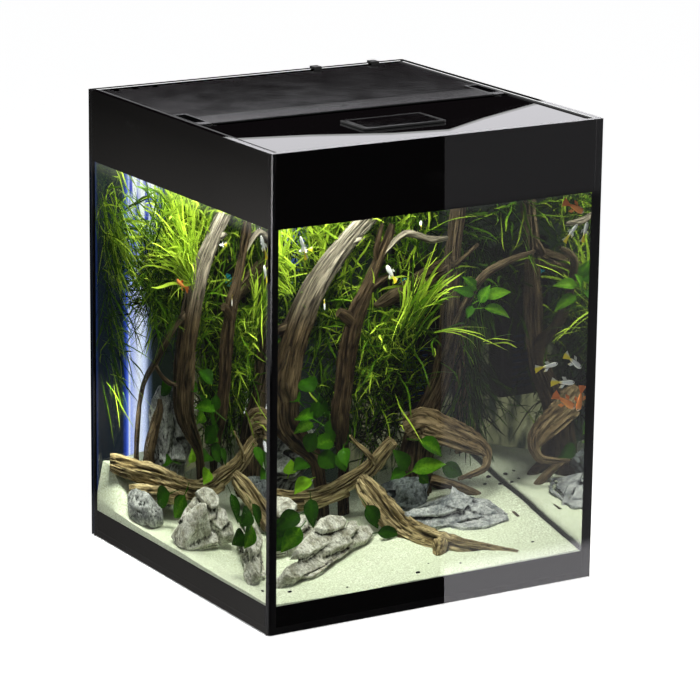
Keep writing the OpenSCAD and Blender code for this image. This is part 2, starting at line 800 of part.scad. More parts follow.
module filter_case() {
    slots = 9;
    color("#141416")
        difference() {
            soft_block([filter_x - filter_w / 2, filter_yf, filter_z],
                [filter_x + filter_w / 2, filter_back, head_z - gap], 6);
            soft_block([filter_x - filter_w / 2 + case_wall, filter_yf + case_wall, filter_z + case_wall],
                [filter_x + filter_w / 2 - case_wall, filter_back - case_wall, head_z + 1], 4);
            for (i = [0 : slots - 1])
                block([filter_x - filter_w / 4, filter_yf - 1, filter_z + 12 + i * 9],
                    [filter_x + filter_w / 4, filter_yf + case_wall + 1, filter_z + 16 + i * 9]);
        }
}

module filter_sponge() {
    color("#2f6fb5")
        soft_block([filter_x - filter_w / 2 + case_wall + 1, filter_yf + case_wall + 1, filter_z + case_wall + gap],
            [filter_x + filter_w / 2 - case_wall - 1, filter_back - case_wall - 1, head_z - 20], 4);
}

module pump_head() {
    color("#18181a")
        difference() {
            union() {
                soft_block([filter_x - filter_w / 2, filter_yf, head_z],
                    [filter_x + filter_w / 2, filter_back, head_top], 8);
                rod_z([collar_x, filter_yc, head_top - 2], collar_r, collar_h + 2);
            }
            rod_z([filter_x, filter_yc, head_z - 1], chamber_r, plate_t + chamber_h + 1);
            rod_z([filter_x, filter_yc, head_z], well_r, plate_t + 2 + vane_h + rotor_h + 3);
            rod_z([filter_x, filter_yc, head_z], shaft_r, shaft_l + 1);
            rod_z([collar_x, filter_yc, head_z + plate_t + 4], collar_r - 3, head_h + collar_h);
            block([collar_x, filter_yc - 4, head_z + plate_t + 4],
                [filter_x, filter_yc + 4, head_z + plate_t + chamber_h]);
            rod_y([dial_x, filter_yf - 1, dial_z], dial_shaft_r + run, dial_bore + 1);
        }
}

module pump_plate() {
    color("#202022")
        difference() {
            rod_z([filter_x, filter_yc, head_z + gap], chamber_r - 0.15, plate_t - gap);
            rod_z([filter_x, filter_yc, head_z - 1], shaft_r, plate_t + 3);
            for (a = [0 : 60 : 300])
                translate([filter_x, filter_yc, 0]) rotate([0, 0, a])
                    rod_z([chamber_r * 0.6, 0, head_z - 1], 2.2, plate_t + 3);
        }
}

module pump_shaft() {
    color("#f0f0ee") rod_z([filter_x, filter_yc, shaft_z], shaft_r - 0.01, shaft_l);
}

// Rotor: a magnet with four vanes under it
module pump_rotor() {
    color("#3a3a40")
        translate([filter_x, filter_yc, rotor_z])
            difference() {
                union() {
                    translate([0, 0, vane_h]) cylinder(r = rotor_r, h = rotor_h - 2, $fn = fine);
                    cylinder(r = shaft_r + 2, h = vane_h + 1, $fn = fine);
                    for (a = [0 : 90 : 270])
                        rotate([0, 0, a]) translate([0, -0.8, 1]) cube([vane_r, 1.6, vane_h]);
                }
                translate([0, 0, -1]) cylinder(r = shaft_r + run, h = rotor_h + vane_h + 2, $fn = fine);
            }
}

module outlet_nozzle() {
    color("#1f1f22")
        difference() {
            union() {
                rod_z([collar_x, filter_yc, head_top + gap], nozzle_r, nozzle_h);
                rod_y([collar_x, filter_yc - nozzle_r - spout_l, spout_z], spout_r, spout_l + nozzle_r);
            }
            rod_z([collar_x, filter_yc, head_top - 1], collar_r + run, collar_h + 2);
            rod_z([collar_x, filter_yc, head_top], collar_r - 3, nozzle_h - 2);
            rod_y([collar_x, filter_yc - nozzle_r - spout_l - 1, spout_z], spout_r - 1.6, spout_l + nozzle_r + 1);
        }
}

// Dial that throttles the flow: a notched knob on a stub shaft in the pump head
module flow_dial() {
    color("#27b3c9")
        difference() {
            union() {
                rod_y([dial_x, filter_yf - dial_t - gap, dial_z], dial_r, dial_t);
                rod_y([dial_x, filter_yf - 1, dial_z], dial_shaft_r, dial_bore - 0.5);
            }
            for (a = [0 : 30 : 330])
                translate([dial_x, filter_yf - dial_t - gap - 1, dial_z])
                    rotate([0, a, 0]) translate([dial_r - 0.8, 0, -0.8]) cube([2, dial_t - 0.5, 1.6]);
        }
}

// Suction cup on the rear pane
module cup(x, z) {
    translate([x, in_yr, z]) rotate([90, 0, 0]) cylinder(r1 = cup_r, r2 = 4, h = cup_d, $fn = fine);
}

module filter_cups() {
    color("#303034")
        for (x = [cup_inset - filter_w / 2, filter_w / 2 - cup_inset], z = [filter_z + cup_low, head_z - cup_high])
            cup(filter_x + x, z);
}

// ---- heater --------------------------------------------------------------------------------------

module heater_tube() {
    color("#9fb4bb", 0.5)
        difference() {
            union() {
                rod_z([heater_x, heater_y, heater_z + heater_r], heater_r, heater_l - heater_r);
                intersection() {
                    translate([heater_x, heater_y, heater_z + heater_r]) sphere(heater_r, $fn = fine);
                    block([heater_x - heater_r, heater_y - heater_r, heater_z],
                        [heater_x + heater_r, heater_y + heater_r, heater_z + heater_r]);
                }
            }
            rod_z([heater_x, heater_y, heater_z + heater_r], heater_r - 1.5, heater_l);
        }
}

module heater_cap_piece() {
    z0 = heater_z + heater_l;
    color("#151517") {
        rod_z([heater_x, heater_y, z0 + gap], heater_r + 2, heater_cap);
        rod_z([heater_x, heater_y, z0 + gap + heater_cap], 5, 12);
        rod_z([heater_x, heater_y, z0 - 14], heater_r - 1.5 - gap, 16);
    }
}

module heater_rings() {
    color("#303034")
        for (z = [heater_z + ring_low, heater_z + heater_l - ring_high])
            difference() {
                union() {
                    rod_z([heater_x, heater_y, z], heater_r + ring_t, ring_h);
                    block([heater_x - 5, heater_y, z], [heater_x + 5, in_yr - cup_d + 1, z + ring_h]);
                    cup(heater_x, z + ring_h / 2);
                }
                rod_z([heater_x, heater_y, z - 1], heater_r + 0.1, ring_h + 2);
            }
}

// ---- sand, driftwood and stones ------------------------------------------------------------------

module sand_bed() {
    color("#e6e2cf") difference() {
        grid_solid(flat_grid(base_t), sand_grid(0));
        mirror_pair() {
            corner_bead(in_yf, 1, bead + gap);
            corner_bead(in_yr, -1, bead + gap);
        }
    }
}

module main_trunk() {
    color("#6b5336") intersection() {
        limb(main_route);
        over_sand();
    }
}

module middle_wood(more = 0) {
    limb(middle_route, aside = [1, 0.4, 0], more = more);
    limb(pale_route, aside = [0, 1, 0.2], more = more);
}

module middle_trunk() {
    color("#5b4630") intersection() {
        middle_wood();
        over_sand();
    }
}

module right_wood(more = 0) {
    limb(right_route, more = more);
    limb(rear_route, more = more);
    limb(antler_route, aside = [1, 0, 0], more = more);
    limb(root_route, more = more);
}

module right_trunk() {
    color("#4c3b28") intersection() {
        right_wood();
        over_sand();
    }
}

module left_wood(more = 0) {
    limb(thin_route, aside = [1, -1, 0.5], more = more);
    limb(stump_route, more = more);
}

module left_root() {
    color("#4a3926") difference() {
        intersection() {
            left_wood();
            over_sand();
        }
        limb(main_route, more = gap);
        limb(long_route, aside = [0, 0, 1], more = gap);
    }
}

module long_log() {
    color("#7a6138") difference() {
        limb(long_route, aside = [0, 0, 1]);
        limb(main_route, more = gap);
    }
}

module short_log() {
    color("#6e5633") intersection() {
        difference() {
            limb(short_route, aside = [1, 0, 0]);
            limb(long_route, aside = [0, 0, 1], more = gap);
        }
        over_sand();
    }
}

module front_stone() {
    color("#8d8f8c") intersection() {
        union() {
            blend(front_slab);
            blend(front_top);
        }
        over_sand();
    }
}

module left_stone() {
    color("#84868a") intersection() {
        blend(left_balls);
        over_sand();
    }
}

// The long log lies in a hollow of the round stone
module round_stone() {
    color("#5f6467") difference() {
        intersection() {
            blend(round_balls);
            over_sand();
        }
        limb(long_route, aside = [0, 0, 1], more = gap);
    }
}

module rear_slate() {
    color("#4e5558") difference() {
        intersection() {
            blend(slate_balls);
            over_sand();
        }
        limb(main_route, more = gap);
        limb(long_route, aside = [0, 0, 1], more = gap);
        left_wood(gap);
    }
}

module right_slate() {
    color("#7b8186") difference() {
        intersection() {
            blend(right_balls);
            over_sand();
        }
        right_wood(gap);
        limb(short_route, aside = [1, 0, 0], more = gap);
        blend(middle_balls, more = gap);
    }
}

module middle_slate() {
    color("#4a5054") difference() {
        intersection() {
            blend(middle_balls);
            over_sand();
        }
        right_wood(gap);
    }
}

// ---- plants --------------------------------------------------------------------------------------

// Ferns are tied to the driftwood, so each clump is cut back to the wood that carries it
module left_fern() {
    color("#4f8f22") difference() {
        blend(left_fern_balls);
        limb(main_route, more = gap);
        left_wood(gap);
    }
}

module middle_fern() {
    color("#3f7f1c") difference() {
        blend(middle_fern_balls);
        limb(main_route, more = gap);
        middle_wood(gap);
        right_wood(gap);
        blend(top_fern_balls, more = gap);
    }
}

module top_fern() {
    color("#5a9c26") difference() {
        blend(top_fern_balls);
        limb(main_route, more = gap);
        blend(left_fern_balls, more = gap);
        rod_z([heater_x, heater_y, 0], heater_r + ring_t + 2, tank_h);
    }
}

module left_anubias() {
    color("#2f7d25") difference() {
        blend(left_anubias_balls);
        limb(main_route, more = gap);
        limb(long_route, aside = [0, 0, 1], more = gap);
        middle_wood(gap);
    }
}

module right_anubias() {
    color("#338a27") difference() {
        blend(right_anubias_balls);
        limb(long_route, aside = [0, 0, 1], more = gap);
        right_wood(gap);
    }
}

base_pane();
front_pane();
rear_pane();
left_pane();
right_pane();
silicone_joints();
upper_band();
lower_band();
background_sheet();
left_rail();
right_rail();
light_bar();
left_end_cap();
right_end_cap();
lamp_board();
lamp_diffuser();
end_cap_screws();
front_lid();
lid_hinge_pins();
hatch_frame();
feeding_flap();
flap_pin();
rear_cover();
rim_clips();
filter_case();
filter_sponge();
pump_head();
pump_plate();
pump_shaft();
pump_rotor();
outlet_nozzle();
flow_dial();
filter_cups();
heater_tube();
heater_cap_piece();
heater_rings();
sand_bed();
main_trunk();
middle_trunk();
right_trunk();
left_root();
long_log();
short_log();
front_stone();
left_stone();
round_stone();
rear_slate();
right_slate();
middle_slate();
left_fern();
middle_fern();
top_fern();
left_anubias();
right_anubias();
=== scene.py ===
"""Square glass aquarium with black bands, a hinged lid, a light bar and a planted driftwood layout."""
import math
import random

import bmesh
import bpy
from mathutils import Matrix, Vector, noise


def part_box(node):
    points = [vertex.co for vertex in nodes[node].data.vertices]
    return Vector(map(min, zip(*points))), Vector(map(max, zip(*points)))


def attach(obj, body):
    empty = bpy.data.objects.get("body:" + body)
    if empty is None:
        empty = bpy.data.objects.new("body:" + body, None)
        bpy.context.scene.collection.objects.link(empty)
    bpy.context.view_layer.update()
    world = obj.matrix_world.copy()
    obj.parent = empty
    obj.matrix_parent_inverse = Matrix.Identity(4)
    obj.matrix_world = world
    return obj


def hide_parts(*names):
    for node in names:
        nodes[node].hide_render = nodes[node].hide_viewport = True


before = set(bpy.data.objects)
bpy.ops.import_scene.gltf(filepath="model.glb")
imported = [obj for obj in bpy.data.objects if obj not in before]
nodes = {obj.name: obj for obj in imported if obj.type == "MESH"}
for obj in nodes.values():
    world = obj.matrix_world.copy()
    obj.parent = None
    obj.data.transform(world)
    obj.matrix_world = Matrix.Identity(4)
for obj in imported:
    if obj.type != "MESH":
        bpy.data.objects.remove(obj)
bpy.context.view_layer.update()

# ---- camera ----------------------------------------------------------------------------------------
# A long lens from the front left, some fifteen degrees above level, rolled by less than a degree.
azimuth, elevation, roll = math.radians(-31.36), math.radians(14.776), math.radians(0.683)
camera_place = Vector((-2.3815, -3.9362, 1.5047))
camera_back = Vector((math.sin(azimuth) * math.cos(elevation), -math.cos(azimuth) * math.cos(elevation),
                      math.sin(elevation)))
level_right = Vector((math.cos(azimuth), math.sin(azimuth), 0))
level_up = camera_back.cross(level_right)
camera_right = level_right * math.cos(roll) + level_up * math.sin(roll)
camera_up = level_up * math.cos(roll) - level_right * math.sin(roll)
camera_data = bpy.data.cameras.new("camera")
camera_data.lens = 181
camera_data.shift_x = 0.001
camera_data.sensor_width = 36
camera = bpy.data.objects.new("camera", camera_data)
bpy.context.scene.collection.objects.link(camera)
turn = Matrix((camera_right, camera_up, camera_back)).transposed().to_4x4()
camera.matrix_world = Matrix.Translation(camera_place) @ turn
bpy.context.scene.camera = camera
bpy.context.scene.view_settings.view_transform = "Standard"

# ---- studio ----------------------------------------------------------------------------------------
# A pale floor under a white surround. Dark and pale cards stand outside the view, and only polished
# faces see them, like the flags and softboxes of a product studio.


def wire(tree, kind, inputs=None, **settings):
    """Adds one shader node. Each input is a constant or the output socket of another node."""
    node = tree.nodes.new("ShaderNode" + kind)
    for key, value in settings.items():
        setattr(node, key, value)
    for key, value in (inputs or {}).items():
        if isinstance(value, bpy.types.NodeSocket):
            tree.links.new(value, node.inputs[key])
        else:
            node.inputs[key].default_value = value
    return node


def reckon(tree, operation, *values):
    """The socket of one sum; each value is a number or a socket, as in all that follows."""
    return wire(tree, "Math", dict(enumerate(values)), operation=operation).outputs[0]


def times(tree, product, *values):
    """The socket of a product."""
    for value in values:
        product = reckon(tree, "MULTIPLY", product, value)
    return product


def span(tree, value, low, high, start=0.0, end=1.0):
    """The socket of a value that runs from start to end while value runs from low to high."""
    return wire(tree, "MapRange", {"Value": value, "From Min": low, "From Max": high,
                                   "To Min": start, "To Max": end}).outputs[0]


def stepped(tree, value, steps):
    """The socket of a colour ramp; each step is a place from 0 to 1 and its colour."""
    ramp = wire(tree, "ValToRGB", {0: value})
    elements = ramp.color_ramp.elements
    while len(elements) < len(steps):
        elements.new(0.5)
    for element, (where, color) in zip(elements, steps):
        element.position = where
        element.color = (*color, 1)
    return ramp.outputs[0]


def either(tree, share, first, second):
    """The socket of two shaders mixed by a share of the second."""
    return wire(tree, "MixShader", {0: share, 1: first.outputs[0], 2: second.outputs[0]}).outputs[0]


def bare_material(name):
    """A material without any node; returns it and its tree."""
    material = bpy.data.materials.new(name)
    material.use_nodes = True
    material.node_tree.nodes.clear()
    return material, material.node_tree


def new_material(name, color, roughness, metallic=0.0, specular=0.5):
    """A Principled material with its plain values set on the shader itself; specular is low under water."""
    material = bpy.data.materials.new(name)
    material.use_nodes = True
    shader = material.node_tree.nodes["Principled BSDF"]
    shader.inputs["Base Color"].default_value = (*color, 1)
    shader.inputs["Roughness"].default_value = roughness
    shader.inputs["Metallic"].default_value = metallic
    shader.inputs["Specular IOR Level"].default_value = specular
    return material, shader


def show(tree, face):
    """Makes a shader's socket what the material shows."""
    tree.links.new(face, tree.nodes["Material Output"].inputs["Surface"])


def finish_mesh(name, bm, materials, sharp_over=None):
    """Turns a bmesh into an object at the origin, smooth except where faces meet at a sharp angle."""
    if sharp_over is not None:
        for face in bm.faces:
            face.smooth = True
        for edge in bm.edges:
            if len(edge.link_faces) == 2:
                edge.smooth = edge.calc_face_angle(0) < math.radians(sharp_over)
    mesh = bpy.data.meshes.new(name)
    bm.to_mesh(mesh)
    bm.free()
    for material in materials:
        mesh.materials.append(material)
    piece = bpy.data.objects.new(name, mesh)
    bpy.context.scene.collection.objects.link(piece)
    return piece


def card(name, corners, color, strength, grades=()):
    """A glowing card that only polished faces see. A grade is a direction and its (metres, share) steps."""
    material, tree = bare_material(name)
    place = wire(tree, "NewGeometry").outputs["Position"]
    for way, steps in grades:
        reach = wire(tree, "VectorMath", {0: place, 1: way}, operation="DOT_PRODUCT").outputs["Value"]
        start, end = steps[0][0], steps[-1][0]
        fade = stepped(tree, span(tree, reach, start, end),
                       [((metres - start) / (end - start), (share,) * 3) for metres, share in steps])
        strength = times(tree, strength, fade)
    glow = wire(tree, "Emission", {"Color": (*color, 1), "Strength": strength})
    mirrored = reckon(tree, "GREATER_THAN", wire(tree, "LightPath").outputs["Glossy Depth"], 0.5)
    clear = wire(tree, "BsdfTransparent")
    wire(tree, "OutputMaterial", {"Surface": either(tree, mirrored, clear, glow)})
    bm = bmesh.new()
    bm.faces.new([bm.verts.new(c) for c in corners])
    piece = finish_mesh(name, bm, [material])
    for ray in ("camera", "diffuse", "volume_scatter", "shadow"):
        setattr(piece, "visible_" + ray, False)


world = bpy.data.worlds.new("surround")
bpy.context.scene.world = world
world.use_nodes = True
sky = world.node_tree
sky.nodes.clear()
path = wire(sky, "LightPath").outputs
seen = reckon(sky, "MAXIMUM", path["Is Camera Ray"], path["Is Transmission Ray"])
seen = reckon(sky, "MAXIMUM", seen, path["Is Glossy Ray"])
lamp_sky = wire(sky, "Background", {"Color": (0.96, 0.98, 1, 1), "Strength": 0.10})
white_sky = wire(sky, "Background", {"Color": (1, 1, 1, 1), "Strength": 1.0})
wire(sky, "OutputWorld", {"Surface": either(sky, seen, lamp_sky, white_sky)})

floor_paint, shader = new_material("floor_paint", (0.9, 0.9, 0.9), 0.9)
tree = floor_paint.node_tree
path = wire(tree, "LightPath").outputs
seen = reckon(tree, "MAXIMUM", path["Is Camera Ray"], path["Is Transmission Ray"])
floor_glow = wire(tree, "Emission", {"Strength": 0.90})
lit_floor = wire(tree, "AddShader", {0: shader.outputs[0], 1: floor_glow.outputs[0]})
show(tree, either(tree, seen, shader, lit_floor))
floor_half = 12
bm = bmesh.new()
bmesh.ops.create_grid(bm, x_segments=1, y_segments=1, size=floor_half)
floor = finish_mesh("floor", bm, [floor_paint])

view_flat = Vector((-camera_back.x, -camera_back.y, 0)).normalized()


def on_wall(across, height, away=3.0):
    """A point on an upright wall behind the object, square to the line of sight."""
    return view_flat * away + level_right * across + Vector((0, 0, height))


# The overhead softbox ends in a soft slope behind the tank, and below it the studio is dark. The slope
# is metres across the line of sight and up
wall_side, wall_foot, wall_top, box_away = 2.2, -1, 1.95, 2.98
slope = [(-wall_side, 1.36), (-0.265, 1.279), (-0.08, 1.268), (0.1, 1.262), (0.228, 1.252), (0.304, 1.225),
         (0.414, 1.192), (0.56, 1.16), (wall_side, 0.95)]
card("dark_wall", [on_wall(a, h) for a, h in slope + [(wall_side, wall_foot), (-wall_side, wall_foot)]],
     (0.010, 0.008, 0.009), 1.0)
card("overhead_softbox", [on_wall(a, h, box_away) for a, h in slope[::-1] + [(-wall_side, wall_top),
                                                                             (wall_side, wall_top)]],
     (0.97, 0.96, 1.0), 1.75)

# Cards on the floor: black before the tank's left part, grey before its right part and bright close to
# the tank, and a dim graded one beside its left face
front_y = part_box("front_pane")[0].y
left_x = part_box("left_pane")[0].x
far_y = front_y - 6
seam_near, seam_far = 0.016, 3.868
black_end, grey_near, grey_far = -3.0, 4.0, 9.0
side_end, side_near, side_far = -6.3, 3.0, 12
flag_end = 8.0
card_z = 0.001


def on_floor(*corners):
    """The corners of a card that lies just over the floor."""
    return [(x, y, card_z) for x, y in corners]


card("front_flag", on_floor((black_end, front_y), (seam_near, front_y), (seam_far, far_y),
                            (black_end, far_y)), (0.038, 0.035, 0.037), 1.0)
card("front_grey_card", on_floor((seam_near, front_y), (grey_near, front_y), (grey_far, far_y),
                                 (seam_far, far_y)), (1.0, 0.98, 1.02), 2.8,
     [((0, -1, 0), [(0.25, 1.0), (0.355, 1.0), (0.39, 0.16), (0.90, 0.08), (2.24, 0.05), (2.30, 0.14),
                    (6.3, 0.14)])])
card("side_card", on_floor((left_x, side_near), (left_x, front_y), (side_end, front_y),
                           (side_end, side_far)), (1.0, 0.96, 0.92), 1.0,
     [((-1, 0, 0), [(0.25, 1.0), (0.31, 1.0), (0.35, 0.04), (1.36, 0.05), (1.41, 1.0), (1.72, 0.42),
                    (2.4, 0.15)]),
      ((1.84, 1, 0), [(-0.9, 0.44), (-0.6, 0.28), (-0.1, 0.15), (0.2, 0.12)])])
card("right_flag", on_floor((-left_x, front_y), (flag_end, front_y), (flag_end, flag_end),
                            (-left_x, flag_end)), (0.05, 0.05, 0.05), 1.0)
card("rear_flag", on_floor((left_x, -front_y), (-left_x, -front_y), (-left_x, flag_end),
                           (left_x, flag_end)), (0.04, 0.04, 0.04), 1.0)

# Two slim cards that only the near corner shows: a bright one in its ground edge and a dim one in the
# rim of the left pane
near_corner = Vector((left_x, front_y, 2 * card_z))
edge_way, edge_side = Vector((-0.866, -0.5, 0)), Vector((0.5, -0.866, 0)) * 0.12
card("edge_card", [near_corner + edge_way * far + edge_side * side
                   for far, side in ((1.0, 1), (3.3, 1), (3.3, -1), (1.0, -1))], (1.0, 0.98, 1.0), 5.0,
     [((-0.866, -0.5, 0), [(1.6, 0.0), (2.05, 0.5), (2.4, 0.85), (2.66, 1.0), (3.7, 1.0)])])
rim_near, rim_far = 0.02, 1.9
rim_start = near_corner + Vector((0, 0.0125, 0))
rim_way, far_rim_way = Vector((-0.5006, 0.8657, 0)), Vector((-0.4994, 0.8664, 0))
card("rim_card", [near_corner + rim_way * rim_near, near_corner + rim_way * rim_far,
                  rim_start + far_rim_way * rim_far, rim_start + far_rim_way * rim_near],
     (1.0, 0.97, 1.0), 0.32)


def soft_lamp(name, place, aim, width, height, power, color=(1, 1, 1)):
    """An area lamp that no polished face shows."""
    data = bpy.data.lights.new(name, "AREA")
    data.shape = "RECTANGLE"
    data.size, data.size_y = width, height
    data.energy = power
    data.color = color
    lamp = bpy.data.objects.new(name, data)
    bpy.context.scene.collection.objects.link(lamp)
    lamp.location = place
    lamp.rotation_euler = (Vector(aim) - Vector(place)).to_track_quat("-Z", "Y").to_euler()
    lamp.visible_camera = lamp.visible_glossy = lamp.visible_transmission = False


soft_lamp("key_lamp", (-1.9, -2.4, 2.6), (0, 0, 0.3), 1.6, 1.6, 13)
soft_lamp("fill_lamp", (2.4, -1.6, 1.8), (0, 0, 0.3), 1.6, 1.6, 8)
# The aquarium's own light: a wide glow just under the lid and the bar, one under the cover at the rear
# left, and a small one over the bank of sand there
soft_lamp("corner_glow", (-0.17, 0.13, 0.60), (-0.20, 0.10, 0), 0.12, 0.16, 1.4, (1.0, 1.0, 0.95))
soft_lamp("bank_glow", (-0.228, 0.17, 0.22), (-0.236, 0.20, 0.1), 0.02, 0.06, 0.5, (1.0, 1.0, 0.92))
soft_lamp("bar_glow", (-0.05, -0.07, 0.60), (-0.02, 0.0, 0), 0.36, 0.30, 4.5, (1.0, 1.0, 0.92))

# ---- shared finishes -------------------------------------------------------------------------------
# Effects that many pieces share: cloudy noise, stretched grain, mixed colours and a raised face. Mottle
# is a cloudy change of tone over a piece, measured on the piece itself.


def on_piece(tree):
    """The socket with each point's place on its own piece."""
    return wire(tree, "TexCoord").outputs["Object"]


def stretched(tree, place, scale, **more):
    """The socket of a place stretched along its axes."""
    return wire(tree, "Mapping", {"Vector": place, "Scale": scale, **more}).outputs[0]


def cloudy(tree, place, scale, detail, **more):
    """The socket of a soft noise round a half."""
    return wire(tree, "TexNoise", {"Vector": place, "Scale": scale, "Detail": detail, **more}).outputs[0]


def kept(tree, name):
    """The socket of a value that is kept on a piece's points."""
    return wire(tree, "Attribute", attribute_name=name).outputs["Fac"]


def blend(tree, share, first, second, way="MIX"):
    """The socket of two colours mixed by a share of the second."""
    return wire(tree, "Mix", {"Factor": share, "A": first, "B": second}, data_type="RGBA",
                blend_type=way).outputs["Result"]


def raise_face(tree, shader, height, strength, distance):
    """Raises a shader's face by a height."""
    relief = wire(tree, "Bump", {"Height": height, "Strength": strength, "Distance": distance})
    tree.links.new(relief.outputs[0], shader.inputs["Normal"])


def new_group(name, inputs, outputs):
    """An empty shader group with sockets by default value; returns it, its inner inputs and outputs."""
    tree = bpy.data.node_groups.new(name, "ShaderNodeTree")
    for way, sockets in (("INPUT", inputs), ("OUTPUT", outputs)):
        for label, value in sockets.items():
            kind = "NodeSocketFloat" if isinstance(value, float) else "NodeSocketColor"
            tree.interface.new_socket(label, in_out=way, socket_type=kind).default_value = value
    return tree, tree.nodes.new("NodeGroupInput").outputs, tree.nodes.new("NodeGroupOutput").inputs


def place_group(tree, group, **values):
    """Puts a shader group into a material, with its own values, and returns its outputs."""
    node = tree.nodes.new("ShaderNodeGroup")
    node.node_tree = group
    for label, value in values.items():
        node.inputs[label].default_value = value
    return node.outputs


mottle, enter, leave = new_group("mottle", dict(Scale=20.0, Detail=4.0, Low=0.0, High=1.0), dict(Value=0.0))
cloud = cloudy(mottle, on_piece(mottle), enter["Scale"], enter["Detail"], Roughness=0.6)
mottle.links.new(span(mottle, cloud, 0.3, 0.7, enter["Low"], enter["High"]), leave["Value"])


def surface(name, color, roughness, low, high, metallic=0.0, specular=0.5, scale=30.0, bump=0.0,
            bump_scale=900.0):
    """A material with uneven polish from low to high, and a fine grain in it where bump is over zero."""
    material, shader = new_material(name, color, roughness, metallic, specular)
    tree = material.node_tree
    polish = place_group(tree, mottle, Scale=scale, Low=low, High=high)
    tree.links.new(polish["Value"], shader.inputs["Roughness"])
    if bump:
        fine_grain = place_group(tree, mottle, Scale=bump_scale, Detail=2.0)
        raise_face(tree, shader, fine_grain["Value"], bump, 0.0004)
    return material


def dress(node, material):
    """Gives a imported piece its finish."""
    nodes[node].data.materials.clear()
    nodes[node].data.materials.append(material)


weld = 2e-6


def softened(node, material, body, edge=0.0004, sharp_over=15):
    """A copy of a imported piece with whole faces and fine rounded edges, which stands for it."""
    flat_within, sharp_from = math.radians(0.5), math.radians(35)
    bm = bmesh.new()
    bm.from_mesh(nodes[node].data)
    bmesh.ops.remove_doubles(bm, verts=bm.verts, dist=weld)
    bmesh.ops.dissolve_limit(bm, angle_limit=flat_within, verts=bm.verts, edges=bm.edges)
    corners = [e for e in bm.edges if len(e.link_faces) == 2 and e.calc_face_angle(0) > sharp_from]
    bmesh.ops.bevel(bm, geom=corners, offset=edge, offset_type="OFFSET", segments=2, profile=0.5,
                    affect="EDGES", material=-1, clamp_overlap=True)
    bmesh.ops.recalc_face_normals(bm, faces=bm.faces)
    piece = finish_mesh(node + "_finished", bm, [material], sharp_over=sharp_over)
    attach(piece, body)
    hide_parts(node)


# ---- glass tank ------------------------------------------------------------------------------------
# Five panes of float glass, bonded with black silicone. Light from the lamps passes straight through
# them, and the eye sees their true bending and mirror edges.


def clear_material(name, color, bending):
    """A clear material: lamps and soft bounce light pass it, so that what stands behind is lit."""
    material, shader = new_material(name, color, 0.0)
    shader.inputs["Transmission Weight"].default_value = 1.0
    shader.inputs["IOR"].default_value = bending
    tree = material.node_tree
    way = wire(tree, "LightPath").outputs
    lit = reckon(tree, "MAXIMUM", way["Is Shadow Ray"], way["Is Diffuse Ray"])
    show(tree, either(tree, lit, shader, wire(tree, "BsdfTransparent")))
    return material


glass_bending, water_bending = 1.5, 1.333
float_glass = clear_material("float_glass", (0.985, 0.995, 0.99), glass_bending)
for pane in ("front_pane", "rear_pane", "left_pane", "right_pane", "base_pane"):
    dress(pane, float_glass)
dress("silicone_joints", surface("black_silicone", (0.006, 0.006, 0.007), 0.4, 0.32, 0.5, bump=0.3,
                                 bump_scale=400))
inner_left, inner_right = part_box("left_pane")[1].x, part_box("right_pane")[0].x
inner_front, inner_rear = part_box("front_pane")[1].y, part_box("rear_pane")[0].y

# ---- black bands -----------------------------------------------------------------------------------
# Black enamel on the inner face of the glass, over the frame at the top and the sand at the bottom.
enamel = surface("black_enamel", (0.0002, 0.0002, 0.0002), 0.6, 0.5, 0.7, specular=0.0)
for band in ("upper_band", "lower_band"):
    dress(band, enamel)

# ---- band corners ----------------------------------------------------------------------------------
# Narrow strips of the same black inside each upright corner, where the upper band stops short of the
# silicone, so that no light from inside shows beside it.
bm = bmesh.new()
strip_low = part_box("upper_band")[0].z
strip_wide, strip_thick, strip_tall, strip_gap = 0.010, 0.0004, 0.070, 0.0001
for x, right in ((inner_left, 1), (inner_right, -1)):
    for y, rear in ((inner_front, 1), (inner_rear, -1)):
        for wide, deep in ((strip_wide, strip_thick), (strip_thick, strip_wide)):
            middle = Vector((x + right * (strip_gap + wide / 2), y + rear * (strip_gap + deep / 2),
                             strip_low + strip_tall / 2))
            bmesh.ops.create_cube(bm, size=1, matrix=Matrix.Translation(middle)
                                  @ Matrix.Diagonal((wide, deep, strip_tall, 1)))
piece = finish_mesh("band_corners", bm, [enamel])
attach(piece, "tank")

# ---- background sheet ------------------------------------------------------------------------------
# A glossy film bonded behind the rear pane, whose pattern is painted light that glows: deep blue-black at
# the left edge, one bright painted stripe of light and a pale sky-blue painted fall of light beside it,
# and green-black over the rest. Its back is plain black.
film, shader = new_material("background_film_painted_glow", (0.006, 0.006, 0.007), 0.45, specular=0.15)
tree = film.node_tree
at = on_piece(tree)
axes = wire(tree, "SeparateXYZ", {0: at}).outputs
glowing_stripes = stepped(tree, span(tree, axes["X"], -0.250, 0.250), [
    (0.0, (0, 0, 0)), (0.018, (0.002, 0.003, 0.004)), (0.034, (0.010, 0.026, 0.11)),
    (0.055, (0.004, 0.008, 0.012)), (0.216, (0.004, 0.009, 0.016)), (0.238, (0.012, 0.045, 0.36)),
    (0.254, (0.12, 0.22, 0.85)), (0.262, (0.85, 0.92, 1.0)), (0.274, (0.36, 0.45, 0.92)),
    (0.33, (0.82, 0.88, 1.0)), (0.365, (0.60, 0.70, 1.0)), (0.392, (0.07, 0.10, 0.17)),
    (0.42, (0.006, 0.010, 0.008)), (0.75, (0.006, 0.010, 0.006)), (1.0, (0.010, 0.014, 0.009))])
